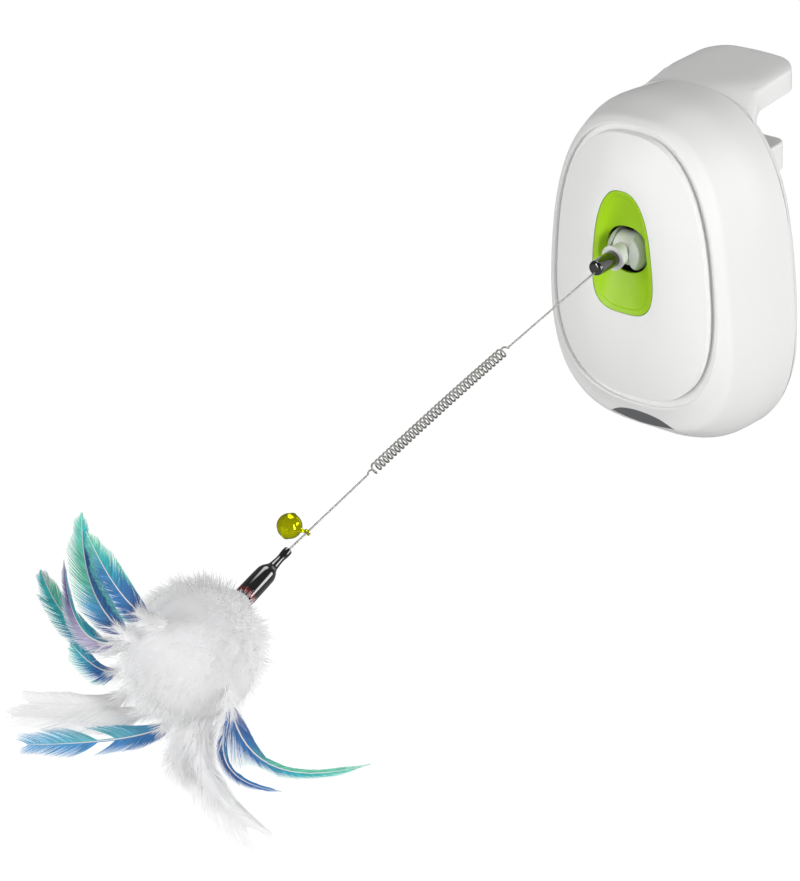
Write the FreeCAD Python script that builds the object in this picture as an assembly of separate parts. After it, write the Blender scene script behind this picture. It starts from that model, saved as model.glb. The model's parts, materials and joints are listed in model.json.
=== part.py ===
import FreeCAD, Part

import math
import os

os.makedirs("parts", exist_ok=True)

# Automatic feather wand cat toy, in millimetres.
# The origin lies on the flat underside of the hook tongue, which sits on a shelf or table.
# Z is up, X is across, and the wand reaches towards -Y.

Vector = FreeCAD.Vector
NUDGE = 1e-4
STRAIGHT_ENOUGH = 1e-6

# Hook tongue and clamp jaw
HOOK_REACH = 44.3
ORIGIN_BEHIND_BACK = 25.5
TONGUE_ROOT_HALF_WIDTH = 26.6
TONGUE_HALF_WIDTH = 24.4
TONGUE_TIP_HALF_WIDTH = 22.6
TONGUE_CORNER_RADIUS = 11.5
TONGUE_ROOT_SIDE = 4.8
TONGUE_SIDE = 10.0
TONGUE_CROWN = 11.2
TONGUE_WAIST = 12.0
TONGUE_ROOT_STEPS = 3
TONGUE_UNDERCUT = 1.0
TONGUE_EDGE_RADIUS = 2.6
TONGUE_ROOT_FILLET = 6.0
CLAMP_GAP = 20.5
CLAMP_TRAVEL = 18.0
JAW_HALF_WIDTH = 24.4
JAW_DEPTH = 31.6
JAW_HEIGHT = 13.0
JAW_CORNER_RADIUS = 5.5
JAW_EDGE_RADIUS = 1.2
JAW_STEM_HALF_WIDTH = 8.0
JAW_STEM_HEIGHT = 8.0
SLIDE_HALF_WIDTH = 12.0
SLIDE_THICKNESS = 2.0
SLIDE_COVER = 17.0
SLIDE_LUG_HALF_WIDTH = 5.0
SLIDE_LUG_REACH = 8.0
SLIDE_LUG_THICKNESS = 3.0
SLIDE_RAIL_WIDTH = 1.8
SLIDE_RAIL_HOOK = 1.6
CLAMP_ROD_RADIUS = 1.5
CLAMP_ROD_TOP = -9.0
CLAMP_SPRING_RADIUS = 3.4
CLAMP_SPRING_WALL = 0.8

# Housing outlines, each an egg: half width, top, bottom, and where it differs narrowing and squareness
PANEL_HALF_WIDTH = 38.0
PANEL_TOP = 4.9
PANEL_BOTTOM = -115.9
RIM_HALF_WIDTH = 42.0
RIM_TOP = 8.6
RIM_BOTTOM = -120.8
BROW_HALF_WIDTH = 44.6
BROW_TOP = 10.3
BROW_BOTTOM = -125.8
SHOULDER_HALF_WIDTH = 46.3
SHOULDER_TOP = 10.9
SHOULDER_BOTTOM = -133.0
SHOULDER_SQUARENESS = 2.8
WAIST_HALF_WIDTH = 49.8
WAIST_TOP = 12.8
WAIST_BOTTOM = -142.4
WAIST_NARROWING = 0.09
WAIST_SQUARENESS = 2.9
SEAM_HALF_WIDTH = 51.0
SEAM_TOP = 11.6
SEAM_BOTTOM = -146.6
EGG_NARROWING = 0.12
EGG_SQUARENESS = 2.6
OUTLINE_STRETCHES = 8

# Housing depths, walls and joints
REAR_RIM_DEPTH = 3.5
SEAM_TO_WAIST = 21.5
SEAM_TO_SHOULDER = 38.5
SEAM_TO_BROW = 42.3
SEAM_TO_RIM = 45.0
WALL = 2.2
GROOVE_LAND = 1.0
GROOVE_DEPTH = 1.6
PANEL_SEAT = 5.0
PANEL_LIP_HEIGHT = 2.4
PANEL_LIP_WALL = 1.6
PANEL_PROUD = 2.0
DOME_RISE = 6.6
DOME_STEPS = 4
DOME_INNER_STEPS = 2
FIT = 0.15
SEAM_GAP = 0.25
LIP_HEIGHT = 3.0
LIP_WALL = 1.3
REAR_ROUNDING = 2.2
REAR_BEVEL = 0.5

# Screws and their posts
SCREW_RADIUS = 1.3
SCREW_HEAD_RADIUS = 2.5
SCREW_HEAD_HEIGHT = 1.6
SCREW_GRIP = 9.0
SMALL_SCREW_RADIUS = 1.0
SMALL_HEAD_RADIUS = 1.8
SMALL_HEAD_HEIGHT = 1.2
SMALL_GRIP = 6.0
BORE_CLEARANCE = 0.05
POST_RADIUS = 3.3
SMALL_POST_RADIUS = 2.6
UPPER_POST_X = 26.0
UPPER_POST_Z = -9.0
LOWER_POST_X = 33.0
LOWER_POST_Z = -118.0

# Funnel mouth, its rim and the hole round the ball
OPENING_HALF_WIDTH = 14.6
OPENING_HALF_HEIGHT = 27.9
OPENING_NARROWING = 0.18
OPENING_SQUARENESS = 2.76
FUNNEL_RIM_WIDTH = 3.9
FUNNEL_RIM_DEPTH = 1.0
FUNNEL_DEPTH = 4.2
FUNNEL_WALL = 1.2
FUNNEL_FLANGE = 2.2
FUNNEL_FLANGE_THICKNESS = 1.3
HOLE_HALF_WIDTH = 10.4
HOLE_HALF_HEIGHT = 10.5
HOLE_SQUARENESS = 2.2

# Ball, arm and wand plug
BALL_RADIUS = 10.0
BALL_SETBACK = 6.9
BALL_BELOW_TONGUE = 46.4
BALL_BACK = 4.0
SLOT_HALF_WIDTH = 4.9
TILT_LIMIT = 40.0
PAN_LIMIT = 25.0
HUB_RADIUS = 7.4
HUB_HALF_WIDTH = 4.6
ARM_RADIUS = 4.6
ARM_STRAIGHT = 9.0
SOCKET_RADIUS = 5.5
ARM_LENGTH = 13.4
SOCKET_BORE_RADIUS = 2.5
SOCKET_BORE_DEPTH = 5.4
PLUG_RADIUS = 3.3
PLUG_TIP_RADIUS = 2.9
PLUG_LENGTH = 12.8
PLUG_ROUNDING = 1.2
WIRE_EXIT_DROP = 1.6
WIRE_GRIP = 6.0

# Two-axis drive behind the ball
GEAR_MODULE = 0.8
FINE_MODULE = 0.5
TOOTH_RISE = 0.85
TOOTH_DEPTH = 1.2
TOOTH_ROOT_SHARE = 0.36
TOOTH_PITCH_SHARE = 0.25
TOOTH_TAPER = 0.5
GEAR_BACKLASH = 0.2
SECTOR_HALF_ANGLE_MARGIN = 9.0
PAN_SECTOR_TEETH = 40
TILT_SECTOR_TEETH = 30
IDLER_SMALL_TEETH = 10
PAN_IDLER_LARGE_TEETH = 30
PAN_PINION_TEETH = 10
TILT_IDLER_LARGE_TEETH = 24
TILT_PINION_TEETH = 8
SECTOR_THICKNESS = 3.0
TILT_SECTOR_HALF_THICKNESS = 1.8
FINE_GEAR_THICKNESS = 1.8
GEAR_STEP = 0.4
AXLE_RADIUS = 1.0
PIN_RADIUS = 1.0
RUNNING_CLEARANCE = 0.05
TILT_PIN_RADIUS = 1.25
TILT_PIN_HALF_LENGTH = 8.4
BUSH_WALL = 0.7
YOKE_WALL = 2.0
YOKE_NOSE_RADIUS = 2.0
BRIDGE_OFFSET = 13.6
YOKE_REACH = 25.7
YOKE_BRIDGE_REACH = 15.7
FRAME_NOSE_RADIUS = 2.7
FRAME_PLATE = 2.0
FRAME_GAP = 1.9
FRAME_HALF_WIDTH = 16.0
FRAME_NOSE_SETBACK = 7.7
FRAME_REACH = 33.7
EAR_REACH = 28.0
EAR_HEIGHT = 9.0
EAR_THICKNESS = 2.0
EAR_FOOT = 8.0
EAR_OVERLAP = 0.5
EAR_SETBACK = 12.0
EAR_POST_X = 24.0
EAR_POST_DROP = 5.0
PAN_MOTOR_RADIUS = 8.0
PAN_MOTOR_LENGTH = 22.0
TILT_MOTOR_RADIUS = 6.0
TILT_MOTOR_LENGTH = 15.0
MOTOR_SHAFT_RADIUS = 0.75
MOTOR_BOSS_RADIUS = 2.2
MOTOR_BOSS_HEIGHT = 0.8
MOTOR_NUB_RADIUS = 2.6
MOTOR_NUB_HEIGHT = 1.2

# Cells, their bay and the door
CELL_RADIUS = 7.25
CELL_LENGTH = 49.2
CELL_NUB_RADIUS = 2.75
CELL_NUB_HEIGHT = 1.3
CELL_PITCH = 15.2
CELL_COUNT = 3
CONTACT_ROOM = 2.8
CONTACT_THICKNESS = 0.4
CONTACT_HALF_WIDTH = 4.0
BAY_RISE = 16.0
BAY_WALL = 1.5
BAY_SIDE_ROOM = 0.5
DOOR_HALF_WIDTH = 22.0
DOOR_THICKNESS = 2.0
DOOR_BELOW_BAY_TOP = 2.0
DOOR_BELOW_BAY_BOTTOM = 9.0
DOOR_GAP = 0.3
DOOR_TAB_HALF_WIDTH = 3.0
DOOR_TAB_DROP = 1.2
DOOR_TAB_THICKNESS = 1.2
DOOR_CORNER_RADIUS = 2.5
DOOR_SCREW_ABOVE_BOTTOM = 4.0
DOOR_PAD_WALL = 2.0
DOOR_BOSS_LENGTH = 5.0
DOOR_RIB_HALF_WIDTH = 9.0
DOOR_RIB_COUNT = 3
DOOR_RIB_PITCH = 3.0
DOOR_RIB_DEPTH = 0.5

# Circuit board, sensor and switch
BOARD_HALF_WIDTH = 23.0
BOARD_HEIGHT = 28.0
BOARD_THICKNESS = 1.6
BOARD_TOP = -99.0
BOARD_STANDOFF = 2.0
BOARD_HOLE_INSET = 4.0
CHIP_WIDTH = 8.0
CHIP_HEIGHT = 6.0
CHIP_THICKNESS = 1.6
CAPACITOR_RADIUS = 3.0
CAPACITOR_HEIGHT = 7.0
CAPACITOR_X = 12.0
CONNECTOR_WIDTH = 5.0
CONNECTOR_HEIGHT = 6.0
CONNECTOR_DEPTH = 5.0
CONNECTOR_X = 15.0
WINDOW_HALF_LENGTH = 21.0
WINDOW_HALF_HEIGHT = 11.0
WINDOW_Y = -64.0
WINDOW_Z = -132.3
WINDOW_TILT = 48.0
WINDOW_RECESS = 0.6
WINDOW_THICKNESS = 1.5
WINDOW_FLANGE = 1.6
WINDOW_REACH = 16.0
SENSOR_RADIUS = 4.1
SENSOR_LENGTH = 4.2
SENSOR_BRIM_RADIUS = 4.6
SENSOR_BRIM = 0.5
SENSOR_SETBACK = 11.8
HOLDER_WALL = 1.2
HOLDER_LENGTH = 5.0
SWITCH_X = -36.0
SWITCH_Z = -66.0
SWITCH_TRAVEL = 4.0
SWITCH_HALF_WIDTH = 4.0
SWITCH_HALF_HEIGHT = 8.0
SWITCH_DEPTH = 7.0
KNOB_HALF_WIDTH = 2.2
KNOB_HALF_HEIGHT = 3.0
KNOB_PROUD = 1.0
KNOB_RIB_PITCH = 1.4
KNOB_RIB_COUNT = 3
KNOB_RIB_DEPTH = 0.35

# Wand wire and coil
WIRE_RADIUS = 0.4
UPPER_WIRE_LENGTH = 59.0
UPPER_WIRE_DROOP = 9.7
COIL_LENGTH = 96.6
COIL_RADIUS = 1.9
COIL_TURNS = 37
COIL_LEAD = 5.0
COIL_LEAD_TURNS = 1.0
COIL_CHECKS_PER_TURN = 24
COIL_STEPS_PER_TURN = 2
WIRE_SIDES = 4
TIP_DROOP = 12.7
LOWER_WIRE_LENGTH = 48.4
FERRULE_DROOP = 16.9

# Ferrule, bell, fluff and feathers
FERRULE_NECK_RADIUS = 1.7
FERRULE_NECK_LENGTH = 10.5
FERRULE_SHOULDER_LENGTH = 3.0
FERRULE_RADIUS = 4.1
FERRULE_LENGTH = 27.8
FERRULE_BORE_DEPTH = 8.0
FERRULE_WALL = 0.7
FERRULE_WIRE_DEPTH = 6.0
BINDING_PROUD = 1.0
BELL_FROM_FERRULE = 11.6
BELL_RADIUS = 5.0
BELL_WALL = 0.5
BELL_OFFSET = 8.85
BELL_SLOT = 1.0
BELL_HOLE_RADIUS = 1.1
BELL_LOOP_RADIUS = 1.05
BELL_LOOP_WIRE = 0.45
BELL_HOLE_OFFSET = 3.2
BELL_RIM = 0.4
BELL_RIM_HEIGHT = 0.9
PELLET_RADIUS = 1.4
BALL_FACETS = 6
FLUFF_RADIUS = 27.5
FLUFF_FROM_FERRULE = 31.5
FLUFF_SHOULDER = 22.0
THROAT_DEPTH = 6.0
QUILL_RADIUS = 0.5
QUILL_CLEARANCE = 0.3
QUILL_RING_RADIUS = 2.6
QUILL_PROUD = 1.0
QUILL_LEAN = 22.0
WIDE_LEAN = 30.0
QUILL_FIRST_CLOCK = 5.0
QUILL_CLOCK_STEP = 25.0
FEATHER_STATIONS = 6
FEATHER_FULLEST = 0.75
FEATHER_TURN = 35.0
BROAD_FEATHER = 15.0
MIDDLE_FEATHER = 11.0
NARROW_FEATHER = 7.0

# Feather tips: spread from the ferrule's axis, clock round it (0 up, 90 to +X) and reach
CREST_SPREAD = 56.0
CREST_CLOCK = -1.0
CREST_REACH = 100.0
CREST_BEND = 14.0
TALL_SPREAD = 60.0
TALL_CLOCK = -10.0
TALL_REACH = 92.0
TALL_BEND = 26.0
PURPLE_SPREAD = 50.0
PURPLE_CLOCK = -26.0
PURPLE_REACH = 80.0
PURPLE_BEND = 22.0
AQUA_SPREAD = 50.0
AQUA_CLOCK = -40.0
AQUA_REACH = 84.0
AQUA_BEND = 26.0
SHORT_SPREAD = 35.0
SHORT_CLOCK = -62.0
SHORT_REACH = 76.0
SHORT_BEND = 16.0
SIDE_SPREAD = 26.0
SIDE_CLOCK = -79.0
SIDE_REACH = 93.0
SIDE_BEND = 12.0
LONG_SPREAD = 27.0
LONG_CLOCK = -88.0
LONG_REACH = 101.0
LONG_BEND = 14.0
BLUE_SPREAD = 23.0
BLUE_CLOCK = -101.0
BLUE_REACH = 101.0
BLUE_BEND = 14.0
LOW_SPREAD = 25.0
LOW_CLOCK = 146.0
LOW_REACH = 75.0
LOW_BEND = 12.0
TAIL_SPREAD = 43.0
TAIL_CLOCK = 129.0
TAIL_REACH = 92.0
TAIL_BEND = 18.0
NARROW_SPREAD = 49.0
NARROW_CLOCK = 126.0
NARROW_REACH = 78.0
NARROW_BEND = 22.0
TEAL_SPREAD = 67.0
TEAL_CLOCK = 103.0
TEAL_REACH = 92.0
TEAL_BEND = 40.0

# Planes that follow from the sizes above
BACK_Y = -ORIGIN_BEHIND_BACK
TIP_Y = BACK_Y + HOOK_REACH
SEAM_Y = BACK_Y - REAR_RIM_DEPTH
RIM_Y = SEAM_Y - SEAM_TO_RIM
FLOOR_Y = RIM_Y + GROOVE_DEPTH
FLOOR_BACK_Y = FLOOR_Y + WALL
PANEL_EDGE_Y = RIM_Y - PANEL_PROUD
OPENING_Y = PANEL_EDGE_Y - DOME_RISE
INNER_BACK_Y = BACK_Y - WALL
BALL_Y = OPENING_Y + BALL_SETBACK
BALL_Z = -BALL_BELOW_TONGUE
JAW_TOP_Z = -CLAMP_GAP
BALL = Vector(0, BALL_Y, BALL_Z)
X_AXIS = Vector(1, 0, 0)
Y_AXIS = Vector(0, 1, 0)
Z_AXIS = Vector(0, 0, 1)


def export(name, shape):
    if shape.ShapeType == "Compound" and len(shape.Solids) == 1:
        shape = shape.Solids[0]
    shape.exportStep("parts/" + name + ".step")
    print(name, len(shape.Solids), "solids", round(shape.Volume, 1), "mm3")


def block(x_low, x_high, y_low, y_high, z_low, z_high):
    corner = Vector(min(x_low, x_high), min(y_low, y_high), min(z_low, z_high))
    return Part.makeBox(abs(x_high - x_low), abs(y_high - y_low), abs(z_high - z_low), corner)


def rod(radius, start, end):
    along = end - start
    return Part.makeCylinder(radius, along.Length, start, along)


def both_sides(shape):
    mirrored = shape.mirror(Vector(0, 0, 0), X_AXIS)
    return Part.makeCompound([shape, mirrored])


def merge(first, *others):
    return first.fuse(list(others)).removeSplitter()


# Egg outlines: a squared ellipse whose width falls towards the top
# Smooth curves are chains of tangent arcs: two arcs join each pair of places
def tangent_arc(start, heading, end):
    chord = end - start
    if heading.cross(chord).Length < chord.Length * STRAIGHT_ENOUGH:
        return Part.makeLine(start, end)
    inward = chord - heading * chord.dot(heading)
    inward.normalize()
    radius = chord.dot(chord) / (2 * chord.dot(inward))
    centre = start + inward * radius
    middle = (start + end) * 0.5 - centre
    middle.normalize()
    return Part.Arc(start, centre + middle * radius, end).toShape()


def biarc(start, start_heading, end, end_heading):
    chord = end - start
    both = start_heading + end_heading
    square = both.dot(both) - 4
    linear = -2 * chord.dot(both)
    constant = chord.dot(chord)
    if abs(square) < STRAIGHT_ENOUGH**2:
        reach = -constant / linear
    else:
        reach = (-linear - math.sqrt(linear * linear - 4 * square * constant)) / (2 * square)
    joint = (start + end + (start_heading - end_heading) * reach) * 0.5
    return [tangent_arc(start, start_heading, joint), tangent_arc(end, -end_heading, joint)]


def heading_at(place, travel):
    heading = place(travel + NUDGE) - place(travel - NUDGE)
    heading.normalize()
    return heading


def egg(half_width, top, bottom, y, inset=0.0, narrowing=EGG_NARROWING, squareness=EGG_SQUARENESS):
    wide = half_width - inset
    high = (top - bottom) / 2 - inset
    middle = (top + bottom) / 2

    def place(angle):
        across = math.copysign(abs(math.cos(angle)) ** (2 / squareness), math.cos(angle))
        up = math.copysign(abs(math.sin(angle)) ** (2 / squareness), math.sin(angle))
        return Vector(wide * across * (1 - narrowing * up), y, middle + high * up)

    edges = []
    for stretch in range(OUTLINE_STRETCHES):
        first = 2 * math.pi * stretch / OUTLINE_STRETCHES
        last = 2 * math.pi * (stretch + 1) / OUTLINE_STRETCHES
        edges.extend(biarc(place(first), heading_at(place, first), place(last), heading_at(place, last)))
    return Part.Wire(edges)


def seam_egg(y, inset=0.0):
    return egg(SEAM_HALF_WIDTH, SEAM_TOP, SEAM_BOTTOM, y, inset)


def waist_egg(inset=0.0):
    y = SEAM_Y - SEAM_TO_WAIST
    return egg(WAIST_HALF_WIDTH, WAIST_TOP, WAIST_BOTTOM, y, inset, WAIST_NARROWING, WAIST_SQUARENESS)


def shoulder_egg(inset=0.0):
    y = SEAM_Y - SEAM_TO_SHOULDER
    return egg(
        SHOULDER_HALF_WIDTH, SHOULDER_TOP, SHOULDER_BOTTOM, y, inset, EGG_NARROWING, SHOULDER_SQUARENESS
    )


def rim_egg(y, inset=0.0):
    return egg(RIM_HALF_WIDTH, RIM_TOP, RIM_BOTTOM, y, inset)


def panel_egg(y, inset=0.0):
    return egg(PANEL_HALF_WIDTH, PANEL_TOP, PANEL_BOTTOM, y, inset)


def opening_egg(y, inset=0.0):
    return egg(
        OPENING_HALF_WIDTH,
        BALL_Z + OPENING_HALF_HEIGHT,
        BALL_Z - OPENING_HALF_HEIGHT,
        y,
        inset,
        OPENING_NARROWING,
        OPENING_SQUARENESS,
    )


def hole_egg(y, inset=0.0):
    return egg(
        HOLE_HALF_WIDTH,
        BALL_Z + HOLE_HALF_HEIGHT,
        BALL_Z - HOLE_HALF_HEIGHT,
        y,
        inset,
        0.0,
        HOLE_SQUARENESS,
    )


def loft(wires):
    return Part.makeLoft(wires, True, True)


def prism(wire, depth):
    return Part.Face(wire).extrude(Y_AXIS * depth)


def ring_prism(outer, inner, depth):
    return prism(outer, depth).cut(prism(inner, depth))


# Housing: the outer skin from the seam to the front rim
def housing_skin(inset=0.0):
    brow = egg(BROW_HALF_WIDTH, BROW_TOP, BROW_BOTTOM, SEAM_Y - SEAM_TO_BROW, inset)
    return loft([seam_egg(SEAM_Y, inset), waist_egg(inset), shoulder_egg(inset), brow, rim_egg(RIM_Y, inset)])


# The four housing posts, seen from the back: upper pair and lower pair
def post_places():
    return [
        (UPPER_POST_X, UPPER_POST_Z),
        (-UPPER_POST_X, UPPER_POST_Z),
        (LOWER_POST_X, LOWER_POST_Z),
        (-LOWER_POST_X, LOWER_POST_Z),
    ]


# The four mechanism ears, above the upper plate and below the lower plate
FRAME_TOP_Z = BALL_Z + BRIDGE_OFFSET + YOKE_WALL + FRAME_GAP
PAN_GEAR_TOP = BALL_Z - BRIDGE_OFFSET - YOKE_WALL
PAN_GEAR_BOTTOM = PAN_GEAR_TOP - SECTOR_THICKNESS
PAN_FINE_TOP = PAN_GEAR_BOTTOM - FRAME_GAP
PAN_FINE_BOTTOM = PAN_FINE_TOP - FINE_GEAR_THICKNESS
FRAME_BOTTOM_Z = PAN_FINE_BOTTOM - GEAR_STEP
EAR_FRONT_Y = BALL_Y + EAR_SETBACK
EAR_BACK_Y = EAR_FRONT_Y + EAR_THICKNESS
EAR_POST_TOP_Z = FRAME_TOP_Z + EAR_POST_DROP
EAR_POST_BOTTOM_Z = FRAME_BOTTOM_Z - EAR_POST_DROP


def ear_places():
    return [
        (EAR_POST_X, EAR_POST_TOP_Z),
        (-EAR_POST_X, EAR_POST_TOP_Z),
        (EAR_POST_X, EAR_POST_BOTTOM_Z),
        (-EAR_POST_X, EAR_POST_BOTTOM_Z),
    ]


# Sensor window: a lens outline seen along the slope of the lower front
def window_prism(growth):
    tilt = math.radians(WINDOW_TILT)
    outward = Vector(0, -math.cos(tilt), -math.sin(tilt))
    upward = Vector(0, -math.sin(tilt), math.cos(tilt))
    centre = Vector(0, WINDOW_Y, WINDOW_Z)
    long_side = WINDOW_HALF_LENGTH + growth
    short_side = WINDOW_HALF_HEIGHT + growth
    left = centre - X_AXIS * long_side
    right = centre + X_AXIS * long_side
    upper = Part.Arc(left, centre + upward * short_side, right).toShape()
    lower = Part.Arc(right, centre - upward * short_side, left).toShape()
    face = Part.Face(Part.Wire([upper, lower]))
    face.translate(outward * -WINDOW_REACH)
    return face.extrude(outward * 2 * WINDOW_REACH)


def front_shell():
    shell = housing_skin()
    wires = [seam_egg(SEAM_Y, WALL)]
    wires.append(waist_egg(WALL))
    wires.append(rim_egg(FLOOR_BACK_Y, WALL - GROOVE_LAND))
    shell = shell.cut(loft(wires))
    rebate = LIP_HEIGHT + FIT
    shell = shell.cut(prism(seam_egg(SEAM_Y - rebate, WALL), rebate))
    shell = shell.cut(prism(rim_egg(RIM_Y, GROOVE_LAND), GROOVE_DEPTH))
    skin = housing_skin(WALL / 2)
    for x, z in post_places():
        post = rod(POST_RADIUS, Vector(x, FLOOR_Y, z), Vector(x, SEAM_Y, z)).common(skin)
        shell = shell.fuse(post)
        mouth = Vector(x, SEAM_Y, z)
        shell = shell.cut(rod(SCREW_RADIUS + BORE_CLEARANCE, mouth - Y_AXIS * SCREW_GRIP * 2, mouth))
    seat_depth = FLOOR_Y + PANEL_LIP_HEIGHT + FIT - RIM_Y
    shell = shell.cut(prism(panel_egg(RIM_Y, PANEL_SEAT), seat_depth))
    shell = shell.cut(window_prism(FIT))
    shell = shell.cut(window_prism(WINDOW_FLANGE + FIT).common(housing_skin(WALL)))
    cutter = block(
        -SEAM_HALF_WIDTH, SEAM_HALF_WIDTH, SEAM_Y - SEAM_GAP, SEAM_Y, SEAM_BOTTOM, SEAM_TOP
    )
    shell = shell.cut(cutter)
    export("front_shell", shell)


def sensor_window():
    lens = housing_skin(WINDOW_RECESS).cut(housing_skin(WINDOW_RECESS + WINDOW_THICKNESS))
    lens = lens.common(window_prism(0.0))
    flange = housing_skin(WALL + FIT).cut(housing_skin(WALL + WINDOW_THICKNESS))
    flange = flange.common(window_prism(WINDOW_FLANGE))
    filler = housing_skin(WINDOW_RECESS + WINDOW_THICKNESS / 2).cut(housing_skin(WALL + WINDOW_THICKNESS))
    filler = filler.common(window_prism(0.0))
    export("sensor_window", lens.fuse([flange, filler]))


# Front panel: a dome whose outlines run from the panel's edge to the funnel opening
def panel_outline(share, y, inset=0.0):
    def between(edge, opening):
        return edge + (opening - edge) * share

    half_width = between(PANEL_HALF_WIDTH, OPENING_HALF_WIDTH)
    top = between(PANEL_TOP, BALL_Z + OPENING_HALF_HEIGHT)
    bottom = between(PANEL_BOTTOM, BALL_Z - OPENING_HALF_HEIGHT)
    narrowing = between(EGG_NARROWING, OPENING_NARROWING)
    squareness = between(EGG_SQUARENESS, OPENING_SQUARENESS)
    return egg(half_width, top, bottom, y, inset, narrowing, squareness)


def dome(lift, inset, steps):
    wires = []
    for step in range(steps + 1):
        share = step / steps
        y = PANEL_EDGE_Y - DOME_RISE * (1 - (1 - share) ** 2) + lift
        wires.append(panel_outline(share, y, inset * (1 - share)))
    return loft(wires)


def front_panel():
    panel = dome(0.0, 0.0, DOME_STEPS).fuse(prism(panel_egg(PANEL_EDGE_Y), FLOOR_Y - PANEL_EDGE_Y))
    hollow = dome(WALL, WALL, DOME_INNER_STEPS)
    hollow = hollow.fuse(prism(panel_egg(PANEL_EDGE_Y + WALL, PANEL_SEAT), PANEL_SEAT))
    panel = panel.cut(hollow)
    lip_depth = FLOOR_Y - PANEL_EDGE_Y - WALL + PANEL_LIP_HEIGHT
    lip = ring_prism(
        panel_egg(PANEL_EDGE_Y + WALL, PANEL_SEAT + FIT),
        panel_egg(PANEL_EDGE_Y + WALL, PANEL_SEAT + PANEL_LIP_WALL),
        lip_depth,
    )
    panel = panel.fuse(lip)
    solid_dome = dome(WALL / 2, WALL, DOME_INNER_STEPS)
    behind = block(
        -PANEL_HALF_WIDTH, PANEL_HALF_WIDTH, PANEL_EDGE_Y, EAR_BACK_Y, PANEL_BOTTOM, PANEL_TOP
    )
    room = solid_dome.fuse(behind)
    for x, z in ear_places():
        post = rod(POST_RADIUS, Vector(x, OPENING_Y, z), Vector(x, EAR_FRONT_Y, z))
        panel = panel.fuse(post.common(room))
        mouth = Vector(x, EAR_FRONT_Y, z)
        panel = panel.cut(rod(SMALL_SCREW_RADIUS + BORE_CLEARANCE, mouth - Y_AXIS * SMALL_GRIP, mouth))
    panel = panel.cut(prism(opening_egg(OPENING_Y - WALL), DOME_RISE + WALL))
    panel = panel.cut(prism(opening_egg(OPENING_Y + WALL, -FUNNEL_FLANGE - FIT), DOME_RISE))
    export("front_panel", panel)


def funnel():
    mouth_y = OPENING_Y + FUNNEL_RIM_DEPTH
    hole_y = OPENING_Y + FUNNEL_DEPTH
    flange_y = OPENING_Y + WALL + FIT
    body = prism(opening_egg(OPENING_Y, FIT), WALL + FIT)
    body = body.fuse(prism(opening_egg(flange_y, -FUNNEL_FLANGE), FUNNEL_FLANGE_THICKNESS))
    back_wires = [
        opening_egg(mouth_y, FUNNEL_RIM_WIDTH - FUNNEL_WALL),
        hole_egg(hole_y + FUNNEL_WALL, -FUNNEL_WALL),
    ]
    body = body.fuse(loft(back_wires))
    bevel = loft([opening_egg(OPENING_Y, FUNNEL_WALL / 2), opening_egg(mouth_y, FUNNEL_RIM_WIDTH)])
    throat = loft([opening_egg(mouth_y, FUNNEL_RIM_WIDTH), hole_egg(hole_y)])
    outlet = prism(hole_egg(hole_y), FUNNEL_DEPTH)
    body = body.cut(bevel).cut(throat).cut(outlet)
    export("funnel", body)


# Hook tongue: lofted from a crowned root to a flatter blade, then rounded in plan
def tongue_section(y, half_width, side, crown):
    flat = half_width - TONGUE_EDGE_RADIUS
    left_low = Vector(-half_width, y, -TONGUE_UNDERCUT)
    right_low = Vector(half_width, y, -TONGUE_UNDERCUT)
    right_high = Vector(half_width, y, side - TONGUE_EDGE_RADIUS)
    left_high = Vector(-half_width, y, side - TONGUE_EDGE_RADIUS)
    right_shoulder = Vector(flat, y, side)
    left_shoulder = Vector(-flat, y, side)
    edges = [
        Part.makeLine(left_low, right_low),
        Part.makeLine(right_low, right_high),
        tangent_arc(right_high, Z_AXIS, right_shoulder),
        Part.Arc(right_shoulder, Vector(0, y, crown), left_shoulder).toShape(),
        tangent_arc(left_high, Z_AXIS, left_shoulder),
        Part.makeLine(left_high, left_low),
    ]
    return Part.Wire(edges)


def rounded_tip(half_width, corner, y_root, y_tip, z_low, z_high):
    straight = y_tip - corner
    bend = corner * math.sqrt(0.5)
    inner = half_width - corner
    points = [Vector(-half_width, y_root, z_low), Vector(half_width, y_root, z_low)]
    right = Vector(half_width, straight, z_low)
    right_mid = Vector(inner + bend, straight + bend, z_low)
    right_tip = Vector(inner, y_tip, z_low)
    left_tip = Vector(-inner, y_tip, z_low)
    left_mid = Vector(-inner - bend, straight + bend, z_low)
    left = Vector(-half_width, straight, z_low)
    edges = [Part.makeLine(points[0], points[1]), Part.makeLine(points[1], right)]
    edges.append(Part.Arc(right, right_mid, right_tip).toShape())
    edges.append(Part.makeLine(right_tip, left_tip))
    edges.append(Part.Arc(left_tip, left_mid, left).toShape())
    edges.append(Part.makeLine(left, points[0]))
    return Part.Face(Part.Wire(edges)).extrude(Vector(0, 0, z_high - z_low))


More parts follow.
